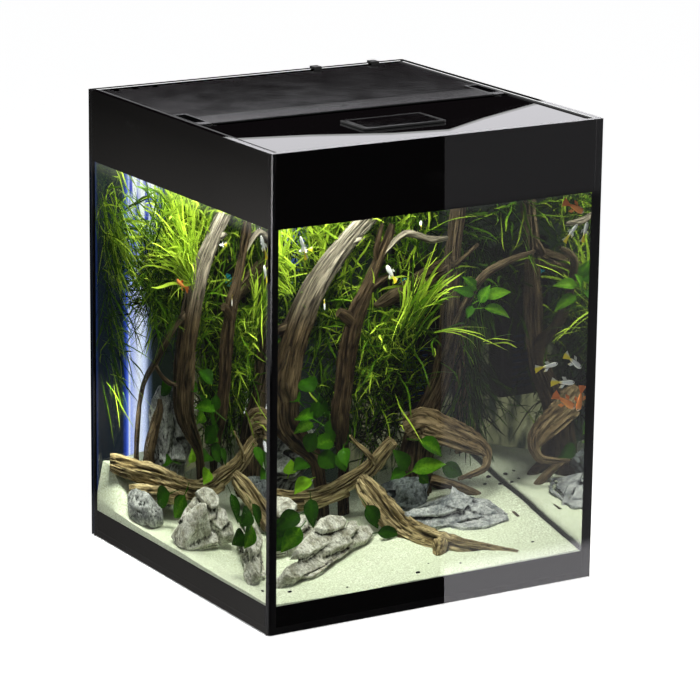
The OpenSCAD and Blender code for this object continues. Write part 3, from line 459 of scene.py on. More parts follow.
# Painted streaks of glinting light high up in a painted blue pool of light, both left of the middle, and
# a painted murky glow low on the right; their places are metres along the sheet and up it
painted_glint_streaks = cloudy(tree, stretched(tree, at, (70, 1, 12), Rotation=(0, math.radians(-38), 0)), 1.0, 3.0)
painted_glint_streaks = span(tree, painted_glint_streaks, 0.48, 0.62)
left_part = span(tree, axes["X"], -0.03, 0.01, 1.0, 0.0)
painted_light_pool = times(tree, span(tree, axes["Z"], 0.34, 0.42), span(tree, axes["X"], -0.122, -0.114), left_part)
painted_glint_share = times(tree, painted_glint_streaks, span(tree, axes["Z"], 0.40, 0.45), span(tree, axes["X"], -0.131, -0.12),
              left_part)
murky_glow = span(tree, cloudy(tree, stretched(tree, at, (45, 1, 16)), 1.0, 2.0), 0.40, 0.58)
murky_glow = times(tree, murky_glow, span(tree, axes["X"], 0.05, 0.09), span(tree, axes["Z"], 0.26, 0.17))
tone = blend(tree, painted_light_pool, glowing_stripes, blend(tree, painted_glint_streaks, (0.02, 0.045, 0.50, 1), (0.10, 0.16, 0.80, 1)))
tone = blend(tree, painted_glint_share, tone, (0.95, 1, 1, 1))
tone = blend(tree, murky_glow, tone, (0.10, 0.105, 0.055, 1))
face_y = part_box("background_sheet")[0].y
shown = times(tree, span(tree, axes["Y"], face_y + 0.0001, face_y + 0.0002, 1.0, 0.0),
              span(tree, axes["Z"], 0.530, 0.540, 1.0, 0.0))
# The whole pattern feeds the film's glow at strength 1.25: painted light from a sheet that is no lamp
tree.links.new(blend(tree, shown, (0, 0, 0, 1), tone), shader.inputs["Emission Color"])
shader.inputs["Emission Strength"].default_value = 1.25
dress("background_sheet", film)

# ---- water -----------------------------------------------------------------------------------------
# Fills the tank to just above the lower edge of the black band. The film is bonded to the rear pane,
# so the water has no mirror there. A faint ripple runs over its surface.
floor_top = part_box("base_pane")[1].z
water_top, skin = 0.556, 0.0001
ripple, still_edge = 0.0012, 0.004
water_stuff = clear_material("water", (0.985, 0.997, 0.985), water_bending)
open_face, tree = bare_material("water_at_film")
wire(tree, "OutputMaterial", {"Surface": wire(tree, "BsdfTransparent").outputs[0]})
bm = bmesh.new()
bmesh.ops.create_cube(bm, size=1)
middle = Vector(((inner_left + inner_right) / 2, (inner_front + inner_rear) / 2,
                 (floor_top + water_top) / 2))
bmesh.ops.scale(bm, vec=(inner_right - inner_left - 2 * skin, inner_rear - inner_front - 2 * skin,
                         water_top - floor_top - skin), verts=bm.verts)
bmesh.ops.translate(bm, vec=middle, verts=bm.verts)
for face in bm.faces:
    face.material_index = 1 if face.normal.y > 0.5 else 0
top_edges = [e for e in bm.edges if all(v.co.z > middle.z for v in e.verts)]
bmesh.ops.subdivide_edges(bm, edges=top_edges, cuts=40, use_grid_fill=True)
for v in bm.verts:
    inside = (abs(v.co.x) < inner_right - still_edge
              and inner_front + still_edge < v.co.y < inner_rear - still_edge)
    if v.co.z > water_top - 0.001 and inside:
        v.co.z += ripple * noise.noise(Vector((v.co.x * 18, v.co.y * 22, 3.0)))
bmesh.ops.triangulate(bm, faces=[f for f in bm.faces if len(f.verts) > 4])
water = finish_mesh("water", bm, [water_stuff, open_face])
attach(water, "tank")

# ---- rails and light bar ---------------------------------------------------------------------------
# Black ribbed rails line the rim and carry everything that lies on top. The bar between them is dark
# anodised aluminium, brushed along its length, with a white lamp board and a frosted cover under it.
rail_plastic = surface("rail_plastic", (0.010, 0.010, 0.011), 0.35, 0.28, 0.42, bump=0.15)
for node in ("left_rail", "right_rail"):
    softened(node, rail_plastic, "tank", edge=0.0002)

anodised, shader = new_material("dark_anodised", (0.010, 0.0095, 0.0105), 0.38, 1.0)
tree = anodised.node_tree
lines = cloudy(tree, stretched(tree, on_piece(tree), (6, 900, 900)), 1.0, 3.0)
tree.links.new(span(tree, lines, 0.0, 1.0, 0.08, 0.12), shader.inputs["Roughness"])
raise_face(tree, shader, lines, 0.12, 0.0002)
softened("light_bar", anodised, "tank", edge=0.0002)

cap_plastic = surface("end_cap_plastic", (0.013, 0.013, 0.014), 0.2, 0.14, 0.26, bump=0.1)
for node in ("left_end_cap", "right_end_cap"):
    softened(node, cap_plastic, "tank", edge=0.0006)

board_white = surface("lamp_board_white", (0.72, 0.72, 0.70), 0.35, 0.3, 0.45)
frosted = surface("frosted_cover", (0.9, 0.9, 0.88), 0.4, 0.35, 0.5)
for node, material, color, strength in (("lamp_board", board_white, (1, 0.98, 0.92, 1), 0.8),
                                        ("lamp_diffuser", frosted, (1, 0.99, 0.95, 1), 0.9)):
    shader = material.node_tree.nodes["Principled BSDF"]
    shader.inputs["Emission Color"].default_value = color
    shader.inputs["Emission Strength"].default_value = strength
    dress(node, material)

# ---- screws and pins -------------------------------------------------------------------------------
# Stainless steel, turned and a little brushed: the screws of the end caps and both hinges' pins.
steel = surface("stainless_steel", (0.60, 0.60, 0.62), 0.25, 0.18, 0.34, metallic=1.0, scale=300)
for node, body in (("end_cap_screws", "tank"), ("lid_hinge_pins", "tank"), ("flap_pin", "lid")):
    softened(node, steel, body, edge=0.0001)

# ---- front lid -------------------------------------------------------------------------------------
# One polished black plate with a lip under its front edge and a knuckle at each rear corner.
lid_black = surface("polished_black_lid", (0.003, 0.003, 0.0035), 0.006, 0.0, 0.012, scale=14.0)
softened("front_lid", lid_black, "lid", edge=0.0003)

# ---- feeding hatch ---------------------------------------------------------------------------------
# A flat frame with soft corners, and in it a flap that turns on a pin and has a finger scoop.
hatch_grey = surface("hatch_grey", (0.010, 0.010, 0.012), 0.05, 0.03, 0.06)
softened("hatch_frame", hatch_grey, "lid", edge=0.0007)
flap_black = surface("flap_black", (0.005, 0.005, 0.006), 0.02, 0.01, 0.035)
softened("feeding_flap", flap_black, "flap", edge=0.0004, sharp_over=1)

# ---- rear cover and clips --------------------------------------------------------------------------
# A black plate that lies loose behind the bar, less polished than the lid, with three cable notches.
cover_black = surface("satin_black_cover", (0.012, 0.010, 0.011), 0.09, 0.075, 0.105, specular=0.4, scale=25)
softened("rear_cover", cover_black, "cover", edge=0.0003)
clip_plastic = surface("clip_plastic", (0.006, 0.006, 0.006), 0.4, 0.3, 0.5, bump=0.2)
softened("rim_clips", clip_plastic, "tank", edge=0.0004)

# ---- internal filter and heater --------------------------------------------------------------------
# Both hang on suction cups at the rear pane. The filter is matte black with a blue sponge behind its
# slots and a turquoise flow dial; the heater is a smoked glass tube with a black cap.
under_water = 0.12
filter_black = surface("filter_black", (0.008, 0.008, 0.009), 0.4, 0.32, 0.5, specular=under_water, bump=0.25)
for node, body in (("filter_case", "tank"), ("pump_head", "tank"), ("outlet_nozzle", "nozzle"),
                   ("pump_plate", "tank")):
    softened(node, filter_black, body, edge=0.0005)
sponge_blue, shader = new_material("sponge_blue", (0.03, 0.10, 0.30), 0.95, specular=under_water)
tree = sponge_blue.node_tree
# Painted shade: the sponge is darker in its pores
pore_shade = wire(tree, "TexVoronoi", {"Vector": on_piece(tree), "Scale": 420.0}).outputs["Distance"]
tree.links.new(blend(tree, span(tree, pore_shade, 0.0, 0.6, 0.25, 1.0), (0.003, 0.010, 0.030, 1),
                     (0.014, 0.045, 0.12, 1)), shader.inputs["Base Color"])
softened("filter_sponge", sponge_blue, "tank", edge=0.001)
dial_blue = surface("dial_turquoise", (0.02, 0.45, 0.60), 0.3, 0.25, 0.4)
softened("flow_dial", dial_blue, "dial", edge=0.0003)
dress("pump_shaft", surface("pump_ceramic", (0.85, 0.85, 0.82), 0.3, 0.25, 0.4))
magnet_grey = surface("magnet_grey", (0.04, 0.04, 0.045), 0.35, 0.3, 0.45)
softened("pump_rotor", magnet_grey, "rotor", edge=0.0002)
cup_rubber = surface("cup_rubber", (0.02, 0.02, 0.022), 0.5, 0.4, 0.6, specular=under_water, bump=0.1)
for node in ("filter_cups", "heater_rings"):
    dress(node, cup_rubber)
dress("heater_tube", surface("smoked_glass_tube", (0.10, 0.12, 0.13), 0.08, 0.05, 0.12,
                             specular=under_water))
dress("heater_cap_piece", surface("heater_cap_black", (0.008, 0.008, 0.009), 0.4, 0.3, 0.5,
                                  specular=under_water))

# ---- sand bed --------------------------------------------------------------------------------------
# Fine pale sand, low along the front and banked up to both rear corners, the left one with a bank of its
# own. It sinks a little along the right pane, and there its colour is painted near black as painted shade
# in the gap between the sand and the glass.
mm = 0.001
sand_front, sand_left, sand_right = 40 * mm, 50 * mm, 115 * mm
bank_height, bank_from, bank_slope, bank_end, bank_foot = 56 * mm, 0.78, 0.2, 0.62, 26 * mm
sunk_depth, sunk_width, sunk_end = 7 * mm, 9 * mm, 0.92
fade = 4
sand_low, sand_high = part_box("sand_bed")


def clamped(value):
    """A value held between 0 and 1."""
    return min(max(value, 0), 1)


def sand_height(x, y):
    """Height of the sand's surface over the floor."""
    u = clamped((x - sand_low.x) / (sand_high.x - sand_low.x))
    v = clamped((y - sand_low.y) / (sand_high.y - sand_low.y))
    height = sand_front + v * (sand_left - sand_front) + u ** 2.5 * v * (sand_right - sand_left)
    rear = clamped((v - bank_from) / bank_slope)
    inward = clamped((bank_end - u) * fade) * min(1, (x - sand_low.x) / bank_foot)
    height += bank_height * rear * rear * (3 - 2 * rear) * inward
    for swell, pitch, shift in ((2.2 * mm, 14, 0), (0.8 * mm, 55, 5)):
        height += swell * noise.noise(Vector((x * pitch, y * pitch, shift)))
    trench = max(0.0, 1 - (sand_high.x - x) / sunk_width) * clamped((sunk_end - v) * fade)
    return height - sunk_depth * trench


sand_grains, shader = new_material("pale_sand", (0.8, 0.78, 0.7), 0.85, specular=0.1)
tree = sand_grains.node_tree
at = on_piece(tree)
grains, drift = cloudy(tree, at, 430.0, 3.0), cloudy(tree, at, 16.0, 3.0)
tone = blend(tree, span(tree, grains, 0.35, 0.65), (0.43, 0.47, 0.31, 1), (0.82, 0.90, 0.72, 1))
tone = blend(tree, span(tree, drift, 0.4, 0.7, 0.0, 0.35), tone, (0.58, 0.66, 0.45, 1))
# Painted shade: near black in the last few millimetres by the right pane
shade_from, shade_full = sand_high.x - 7 * mm, sand_high.x - 4 * mm
gap_shade_share = span(tree, wire(tree, "SeparateXYZ", {0: at}).outputs["X"], shade_from, shade_full)
tree.links.new(blend(tree, gap_shade_share, tone, (0.02, 0.025, 0.018, 1)), shader.inputs["Base Color"])
raise_face(tree, shader, grains, 0.5, 0.0006)
grid_steps = 130
bm = bmesh.new()
bmesh.ops.create_grid(bm, x_segments=grid_steps, y_segments=grid_steps, size=0.5)
for v in bm.verts:
    x = sand_low.x + (v.co.x + 0.5) * (sand_high.x - sand_low.x)
    y = sand_low.y + (v.co.y + 0.5) * (sand_high.y - sand_low.y)
    v.co = Vector((x, y, sand_height(x, y)))
rim = [e for e in bm.edges if len(e.link_faces) == 1]
skirt = bmesh.ops.extrude_edge_only(bm, edges=rim)["geom"]
for v in skirt:
    if isinstance(v, bmesh.types.BMVert):
        v.co.z = sand_low.z
bmesh.ops.holes_fill(bm, edges=[e for e in bm.edges if len(e.link_faces) == 1], sides=0)
bmesh.ops.recalc_face_normals(bm, faces=bm.faces)
sand = finish_mesh("sand", bm, [sand_grains], sharp_over=40)
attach(sand, "tank")
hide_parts("sand_bed")

# ---- driftwood -------------------------------------------------------------------------------------
# Water-worn roots with long split grain. Each limb is swept along its route, its bark raised in
# ridges that follow the limb, and its tips drawn thin. The route points are millimetres.


def smooth_route(route, step):
    """Points and radii along a smooth curve through the route, about step apart."""
    thinnest = 0.8 * mm
    rows = [Vector(row) * mm for row in route]
    rows = [rows[0] * 2 - rows[1]] + rows + [rows[-1] * 2 - rows[-2]]
    out = []
    for a, b, c, d in zip(rows, rows[1:], rows[2:], rows[3:]):
        count = max(2, round((c.xyz - b.xyz).length / step))
        for k in range(count):
            t = k / count
            out.append(0.5 * (2 * b + (c - a) * t + (2 * a - 5 * b + 4 * c - d) * t * t
                              + (3 * b - a - 3 * c + d) * t ** 3))
    out.append(rows[-2])
    return [(row.xyz, max(row.w, thinnest)) for row in out]


def sweep(bm, route, seed, sides=24, step=4 * mm, ridges=0.2, lumps=0.2, spiral=4.0):
    """Adds one limb to a bmesh, with ridges in its bark; relief and grain are kept as layers."""
    relief_layer = bm.verts.layers.float["relief"]
    uv = bm.loops.layers.uv["grain"]
    cap_relief = 0.3
    stations = smooth_route(route, step)
    ring = bmesh.ops.create_circle(bm, cap_ends=False, segments=sides, radius=1)["verts"]
    first = list(ring)
    edges = list({e for v in ring for e in v.link_edges})
    along, side = 0.0, None
    turn_of, place_of = {}, {}

    def bark(round_it, along_it, shift):
        """Noise on the bark that comes so often round the limb and so often along it."""
        return noise.noise(Vector((c * round_it, s * round_it, along * along_it + shift)))

    for i, (centre, radius) in enumerate(stations):
        ahead = stations[min(i + 1, len(stations) - 1)][0] - stations[max(i - 1, 0)][0]
        ahead.normalize()
        side = side or ahead.orthogonal()
        side = (side - ahead * side.dot(ahead)).normalized()
        other = ahead.cross(side)
        if i:
            along += (centre - stations[i - 1][0]).length
            made = bmesh.ops.extrude_edge_only(bm, edges=edges)["geom"]
            edges = [g for g in made if isinstance(g, bmesh.types.BMEdge)]
            near = {turn_of[e.other_vert(v)]: v for v in made if isinstance(v, bmesh.types.BMVert)
                    for e in v.link_edges if e.other_vert(v) in turn_of}
            ring = [near[k] for k in range(sides)]
        girth = radius / mm / 10
        for k, v in enumerate(ring):
            turn = 2 * math.pi * k / sides
            c, s = math.cos(turn + along * spiral), math.sin(turn + along * spiral)
            lump, fine = bark(0.9, 16, seed), bark(7, 45, seed)
            ridge = 1 - 3.2 * abs(bark(2.2 * girth ** 0.5, 10, seed * 3))
            split = max(0.0, 1 - 6 * abs(bark(4.5 * girth ** 0.5, 9, seed * 5)))
            lift = lumps * lump + ridges * ridge * 0.6 + 0.05 * fine - 0.13 * split * girth ** -0.4 + 0.01
            v.co = centre + (side * math.cos(turn) + other * math.sin(turn)) * radius * (1 + lift)
            v[relief_layer] = clamped(0.55 + 0.45 * ridge + 0.3 * fine - 0.75 * split)
            turn_of[v], place_of[v] = k, along
    mean = sum(r for _, r in stations) / len(stations)
    for face in {f for v in turn_of for f in v.link_faces}:
        turns = [turn_of[v] for v in face.verts]
        wraps = max(turns) - min(turns) > sides / 2
        for loop in face.loops:
            k = turn_of[loop.vert]
            k = k + sides if wraps and k < sides / 2 else k
            loop[uv].uv = (k / sides * 2 * math.pi * mean, place_of[loop.vert])
    for end in (first, ring):
        cap = bmesh.ops.contextual_create(bm, geom=end)["faces"]
        for v in bmesh.ops.poke(bm, faces=cap)["verts"]:
            v[relief_layer] = cap_relief


def driftwood(name, node, limbs, material):
    """One piece of driftwood from its limbs."""
    bm = bmesh.new()
    bm.verts.layers.float.new("relief")
    bm.loops.layers.uv.new("grain")
    for values in limbs:
        sweep(bm, **values)
    bmesh.ops.recalc_face_normals(bm, faces=bm.faces)
    piece = finish_mesh(name, bm, [material], sharp_over=60)
    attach(piece, "tank")
    if node:
        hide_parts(node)


# Grain: streaks along the limb, with painted shade in the splits, and ridges that are pale partly as worn
# wood and partly as painted highlight
black = (0, 0, 0, 1)
grain, enter, leave = new_group("wood_grain", dict(Dark=black, Mid=black, Pale=black, Wear=0.0),
                                dict(Color=black, Height=0.0))
uv_at = wire(grain, "UVMap", uv_map="grain").outputs[0]
fibres = cloudy(grain, stretched(grain, uv_at, (620, 34, 1)), 1.0, 5.0, Roughness=0.65, Distortion=0.6)
splits = cloudy(grain, stretched(grain, uv_at, (150, 14, 1)), 1.0, 4.0, Roughness=0.6, Distortion=1.0)
relief = kept(grain, "relief")
fibre_tone = span(grain, fibres, 0.36, 0.62)
# Pale ridges: part worn wood, part painted highlight
wear_and_ridge_highlight = times(grain, relief, span(grain, splits, 0.38, 0.62), enter["Wear"], fibre_tone)
tone = blend(grain, fibre_tone, enter["Dark"], enter["Mid"])
tone = blend(grain, reckon(grain, "MINIMUM", wear_and_ridge_highlight, 1.0), tone, enter["Pale"])
# Painted shade: the low relief of the splits is darkened
split_shade = span(grain, relief, 0.0, 0.45, 0.22, 1.0)
grain.links.new(blend(grain, 1.0, tone, split_shade, "MULTIPLY"), leave["Color"])
grain.links.new(reckon(grain, "ADD", fibres, splits), leave["Height"])


def wood(name, dark, mid, pale, wear_and_highlight, pale_top_from=None):
    """Driftwood in three tones: painted shade in the splits, the body, and ridges that are partly worn pale
    and partly painted highlight. From the height given last, the limb turns pale grey upwards, partly
    bleached wood and partly painted light from above.
    """
    material, shader = new_material(name, mid, 0.75, specular=under_water)
    tree = material.node_tree
    lines = place_group(tree, grain, Dark=(*dark, 1), Mid=(*mid, 1), Pale=(*pale, 1), Wear=wear_and_highlight)
    color = lines["Color"]
    # Paler and greyer towards the top: partly bleached wood, partly painted light from above
    if pale_top_from:
        pale_top = place_group(tree, grain, Dark=(0.045, 0.040, 0.030, 1), Mid=(0.19, 0.172, 0.128, 1),
                          Pale=(0.48, 0.44, 0.35, 1), Wear=1.3)
        axes = wire(tree, "SeparateXYZ", {0: on_piece(tree)}).outputs
        color = blend(tree, span(tree, axes["Z"], pale_top_from, pale_top_from + 0.12), color, pale_top["Color"])
    tree.links.new(color, shader.inputs["Base Color"])
    raise_face(tree, shader, lines["Height"], 0.6, 0.0012)
    return material


trunk_wood = wood("trunk_wood", (0.009, 0.006, 0.003), (0.042, 0.029, 0.013), (0.135, 0.098, 0.050),
                  1.1, 0.33)
dark_wood = wood("dark_root_wood", (0.009, 0.006, 0.004), (0.050, 0.036, 0.018), (0.18, 0.135, 0.075), 1.0)
middle_wood = wood("middle_trunk_wood", (0.007, 0.004, 0.002), (0.029, 0.019, 0.009),
                   (0.12, 0.086, 0.042), 1.0)
root_wood = wood("right_root_wood", (0.028, 0.019, 0.009), (0.15, 0.105, 0.050), (0.40, 0.31, 0.17), 1.2)
arch_wood = wood("arching_branch_wood", (0.030, 0.026, 0.018), (0.14, 0.124, 0.088), (0.40, 0.36, 0.27),
                 1.2)
tan_wood = wood("tan_log_wood", (0.030, 0.020, 0.008), (0.20, 0.148, 0.060), (0.60, 0.50, 0.27), 1.35)

main_way = [(-21, 118, 42, 10), (-26, 118, 105, 9), (-36, 119, 145, 10), (-60, 120, 172, 15),
            (-80, 120, 200, 20), (-83, 120, 232, 21), (-72, 120, 298, 20), (-52, 120, 352, 18),
            (-28, 120, 392, 16), (10, 120, 436, 13), (52, 120, 473, 12), (105, 122, 515, 11),
            (140, 124, 545, 9)]
driftwood("main_trunk_wood", "main_trunk", [
    dict(route=main_way, seed=3.1, sides=60, step=3 * mm, ridges=0.16, lumps=0.12, spiral=1.0),
    dict(route=[(20, 116, 438, 6), (27, 107, 441, 4), (31, 101, 444, 2)], seed=8.0, sides=12, ridges=0.4),
    dict(route=[(-84, 108, 236, 10), (-96, 96, 262, 7), (-92, 90, 290, 4), (-84, 92, 310, 2)],
         seed=5.5, sides=12, ridges=0.3),
], trunk_wood)

middle_way = [(10, 116, 42, 8), (9, 114, 110, 8), (2, 104, 148, 9), (-9, 84, 184, 11), (-13, 72, 216, 12),
              (-10, 68, 258, 12), (-3, 68, 313, 13), (8, 68, 351, 12), (24, 68, 380, 8), (43, 68, 419, 7),
              (57, 68, 450, 6), (62, 68, 466, 4)]
driftwood("middle_trunk_wood", "middle_trunk", [
    dict(route=middle_way, seed=11.7, sides=44, ridges=0.25, lumps=0.34, spiral=6.0, step=3 * mm),
    dict(route=[(4, 66, 335, 9), (-14, 64, 350, 7), (-22, 63, 355, 5)], seed=2.2, sides=14, ridges=0.4,
         lumps=0.4),
    dict(route=[(24, 68, 376, 6), (38, 62, 388, 6), (52, 58, 396, 3)], seed=6.2, sides=12, lumps=0.4),
    dict(route=[(40, 68, 414, 5), (36, 66, 432, 4), (42, 66, 455, 4), (46, 66, 468, 2)], seed=9.1,
         sides=12, lumps=0.3),
], middle_wood)

driftwood("arching_branch_wood", None, [
    dict(route=[(46, 68, 424, 5), (71, 62, 447, 5), (88, 60, 451, 5), (119, 60, 440, 5), (146, 58, 439, 3)],
         seed=4.4, sides=14, ridges=0.25, lumps=0.3, step=3 * mm),
], arch_wood)

right_way = [(118, 112, 48, 27), (124, 112, 120, 24), (130, 110, 165, 20), (144, 110, 195, 16),
             (160, 110, 229, 14), (170, 110, 278, 13), (174, 110, 342, 12), (178, 110, 412, 11),
             (185, 110, 465, 10), (190, 110, 545, 8)]
crossing_way = [(180, 111, 398, 8), (166, 116, 388, 11), (132, 118, 374, 12), (98, 118, 360, 11),
                (70, 112, 351, 8), (52, 106, 346, 4)]
driftwood("right_trunk_wood", "right_trunk", [
    dict(route=right_way, seed=21.0, sides=60, step=3 * mm, ridges=0.22, lumps=0.18, spiral=1.5),
    dict(route=crossing_way, seed=25.0, sides=36, step=3 * mm, ridges=0.3, lumps=0.3),
    dict(route=[(168, 104, 262, 10), (158, 66, 288, 9), (155, 32, 328, 7), (160, 0, 370, 6),
                (172, -30, 400, 6), (197, -60, 420, 5), (222, -86, 433, 2)],
         seed=31.0, sides=24, step=3 * mm, ridges=0.14, lumps=0.1),
    dict(route=[(128, 104, 96, 8), (160, 100, 84, 8), (189, 79, 73, 7), (203, 35, 65, 6), (209, -30, 62, 5),
                (207, -80, 60, 3)], seed=42.0, sides=18, lumps=0.2),
    dict(route=[(176, 104, 402, 5), (170, 86, 396, 4), (182, 70, 410, 3), (196, 60, 425, 2)],
         seed=45.0, sides=12, ridges=0.4),
], dark_wood)

driftwood("right_root_wood", None, [
    dict(route=[(104, 98, 172, 16), (123, 80, 181, 18), (142, 66, 173, 16), (158, 56, 165, 14),
                (178, 48, 154, 13), (194, 40, 144, 11), (202, 32, 134, 8), (202, 26, 124, 6),
                (194, 20, 114, 5), (172, 16, 109, 4), (150, 14, 106, 2)],
         seed=36.0, sides=44, ridges=0.35, lumps=0.35, spiral=9.0, step=3 * mm),
    dict(route=[(118, 70, 168, 9), (146, 52, 158, 8), (172, 42, 146, 8), (190, 32, 138, 6),
                (200, 26, 130, 3)], seed=39.0, sides=20, ridges=0.4, lumps=0.3, step=3 * mm),
    dict(route=[(232, 190, 92, 9), (233, 190, 160, 9), (231, 190, 230, 8), (234, 191, 300, 8),
                (232, 186, 350, 6), (228, 180, 390, 3)], seed=41.0, sides=16, ridges=0.3, lumps=0.3),
    dict(route=[(128, 64, 100, 6), (150, 56, 92, 6), (178, 46, 80, 6), (204, 34, 66, 5), (226, 24, 50, 4),
                (236, 18, 42, 2)], seed=40.0, sides=16, ridges=0.3, lumps=0.3, step=3 * mm),
], root_wood)

driftwood("left_root_wood", "left_root", [
    dict(route=[(-64, 124, 334, 6), (-112, 116, 322, 6), (-142, 120, 298, 6), (-151, 138, 270, 5),
                (-153, 162, 244, 5), (-152, 178, 218, 5), (-150, 190, 180, 5), (-148, 198, 115, 6),
                (-138, 200, 40, 8)], seed=51.0, sides=14, lumps=0.3, step=3 * mm),
    dict(route=[(-130, 182, 40, 13), (-130, 178, 118, 11), (-131, 166, 156, 10), (-129, 148, 194, 8),
                (-128, 148, 212, 4)], seed=55.0, sides=20, ridges=0.35, lumps=0.35, step=3 * mm),
    dict(route=[(-151, 142, 264, 4), (-140, 132, 250, 4), (-122, 124, 240, 4), (-100, 122, 236, 3)],
         seed=57.0, sides=10, lumps=0.3),
], dark_wood)

driftwood("long_log_wood", "long_log", [
    dict(route=[(-222, 212, 112, 11), (-206, 194, 111, 14), (-180, 170, 109, 15), (-150, 148, 106, 15),
                (-120, 128, 99, 14), (-90, 112, 93, 14), (-54, 100, 91, 13), (-26, 94, 96, 12),
                (2, 86, 107, 11), (29, 64, 129, 11), (43, 52, 150, 10), (56, 42, 169, 8)],
         seed=61.0, sides=52, ridges=0.34, lumps=0.16, spiral=3.0, step=3 * mm),
    dict(route=[(-206, 170, 84, 6), (-186, 150, 84, 9), (-160, 128, 86, 10), (-128, 110, 84, 9),
                (-96, 100, 82, 7)], seed=65.0, sides=16, ridges=0.4, lumps=0.3),
    dict(route=[(-60, 94, 84, 8), (-30, 88, 90, 8), (4, 82, 98, 7)], seed=66.5, sides=14, ridges=0.4,
         lumps=0.3),
    dict(route=[(32, 54, 140, 5), (16, 44, 158, 4), (0, 40, 172, 3), (-12, 40, 186, 2)], seed=68.0,
         sides=12, lumps=0.4),
], tan_wood)

driftwood("short_log_wood", "short_log", [
    dict(route=[(16, 60, 116, 8), (20, 24, 104, 11), (34, -4, 80, 12), (50, -32, 60, 13),
                (62, -90, 54, 13), (84, -145, 50, 11), (120, -172, 45, 7), (151, -205, 43, 3)],
         seed=71.0, sides=48, ridges=0.42, lumps=0.2, spiral=-5.0, step=3 * mm),
    dict(route=[(10, 58, 110, 6), (10, 22, 94, 8), (24, -8, 70, 9), (42, -36, 52, 9), (52, -88, 47, 9),
                (66, -132, 45, 8)], seed=74.0, sides=26, ridges=0.42, lumps=0.2, spiral=-7.0, step=3 * mm),
    dict(route=[(64, -118, 52, 11), (60, -134, 49, 11), (52, -146, 45, 7), (47, -152, 43, 3)], seed=77.0,
         sides=20, ridges=0.5, lumps=0.4, spiral=-12.0, step=2 * mm),
], tan_wood)

# ---- stones ----------------------------------------------------------------------------------------
# Layered grey rock. Broken slabs overlap on all but the round stone, and their lower edges throw dark
# seams. A slab's outline lies in the stone's own plane: millimetres along its run and up its slope.


def stone(node, material, facing, seed, origin=(0, 0, 0), run=(1, 0, 0), slabs=(), shrink=3.5,
          voxel=2 * mm, rough=1.6 * mm, layer=9 * mm, jut=1.6 * mm):
    """A packed stone as flaky rock. Each slab is its low and high face over the plane, and its outline."""
    run, facing, origin = Vector(run).normalized(), Vector(facing), Vector(origin) * mm
    facing = (facing - run * run.dot(facing)).normalized()
    rise = facing.cross(run)
    taper, chip_depth, hollow_depth, calm_rounds = 0.94, 0.35 * mm, 1.3 * mm, 5
    bend_size, bend_pitch, ledge_pitch, chip_pitch, grit_pitch = 1.2, 14, 24, 48, 60
    bm = bmesh.new()
    bm.from_mesh(nodes[node].data)
    bmesh.ops.remove_doubles(bm, verts=bm.verts, dist=weld)
    bm.normal_update()
    for v, inward in [(v, v.normal.copy()) for v in bm.verts]:
        v.co -= inward * shrink * mm
    for low, high, outline in slabs:
        base = [bm.verts.new(origin + (run * u + rise * w + facing * low) * mm) for u, w in outline]
        lid = bmesh.ops.extrude_face_region(bm, geom=[bm.faces.new(base)])["geom"]
        top = [g for g in lid if isinstance(g, bmesh.types.BMVert)]
        middle = sum((v.co for v in top), Vector()) / len(top)
        for v in top:
            v.co = middle + (v.co - middle) * taper + facing * (high - low) * mm
    bmesh.ops.recalc_face_normals(bm, faces=bm.faces)
    block = finish_mesh(node + "_block", bm, [])
    block.modifiers.new("even", "REMESH").voxel_size = voxel
    depsgraph = bpy.context.evaluated_depsgraph_get()
    mesh = bpy.data.meshes.new_from_object(block.evaluated_get(depsgraph))
    bpy.data.objects.remove(block)
    bm = bmesh.new()
    bm.from_mesh(mesh)
    bmesh.ops.smooth_vert(bm, verts=bm.verts, factor=0.3, use_axis_x=True, use_axis_y=True, use_axis_z=True)
    bm.normal_update()
    moves = []
    for v in bm.verts:
        side_on = 1 - abs(v.normal.dot(facing))
        bend = bend_size * noise.noise(v.co * bend_pitch + Vector((seed, 0, 0)))
        level = math.floor(v.co.dot(facing) / layer + bend)
        step = noise.cell(Vector((level * 1.7, math.floor(v.co.dot(run) * ledge_pitch + bend), seed)))
        nearest = noise.voronoi(v.co * chip_pitch + Vector((0, seed, 0)))[1][0]
        chip = noise.cell(nearest * 5.3) * chip_depth
        grit = noise.fractal(v.co * grit_pitch + Vector((0, 0, seed)), 0.8, 2.2, 5)
        moves.append(v.normal * (side_on * step * jut + chip + grit * rough))
    for v, move in zip(bm.verts, moves):
        v.co += move
    # Hollows get painted shade and edges that stand out stay pale: how far each point stands over its
    # surroundings
    bm.normal_update()
    calm = [v.co.copy() for v in bm.verts]
    bm.verts.index_update()
    around = [[e.other_vert(v).index for e in v.link_edges] for v in bm.verts]
    for _ in range(calm_rounds):
        calm = [sum((calm[k] for k in ring), Vector()) / len(ring) for ring in around]
    relief_layer = bm.verts.layers.float.new("relief")
    for v, rest in zip(bm.verts, calm):
        v[relief_layer] = clamped(0.58 + (v.co - rest).dot(v.normal) / hollow_depth)
    piece = finish_mesh(node + "_rock", bm, [material], sharp_over=42)
    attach(piece, "tank")
    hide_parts(node)


rock, enter, leave = new_group("rock_face", dict(Dark=black, Mid=black, Pale=black),
                               dict(Color=black, Height=0.0))
at = on_piece(rock)
spots = cloudy(rock, at, 260.0, 5.0, Roughness=0.75)
patches = cloudy(rock, at, 60.0, 4.0, Roughness=0.65)
tone = blend(rock, span(rock, patches, 0.36, 0.62), enter["Mid"], enter["Pale"])
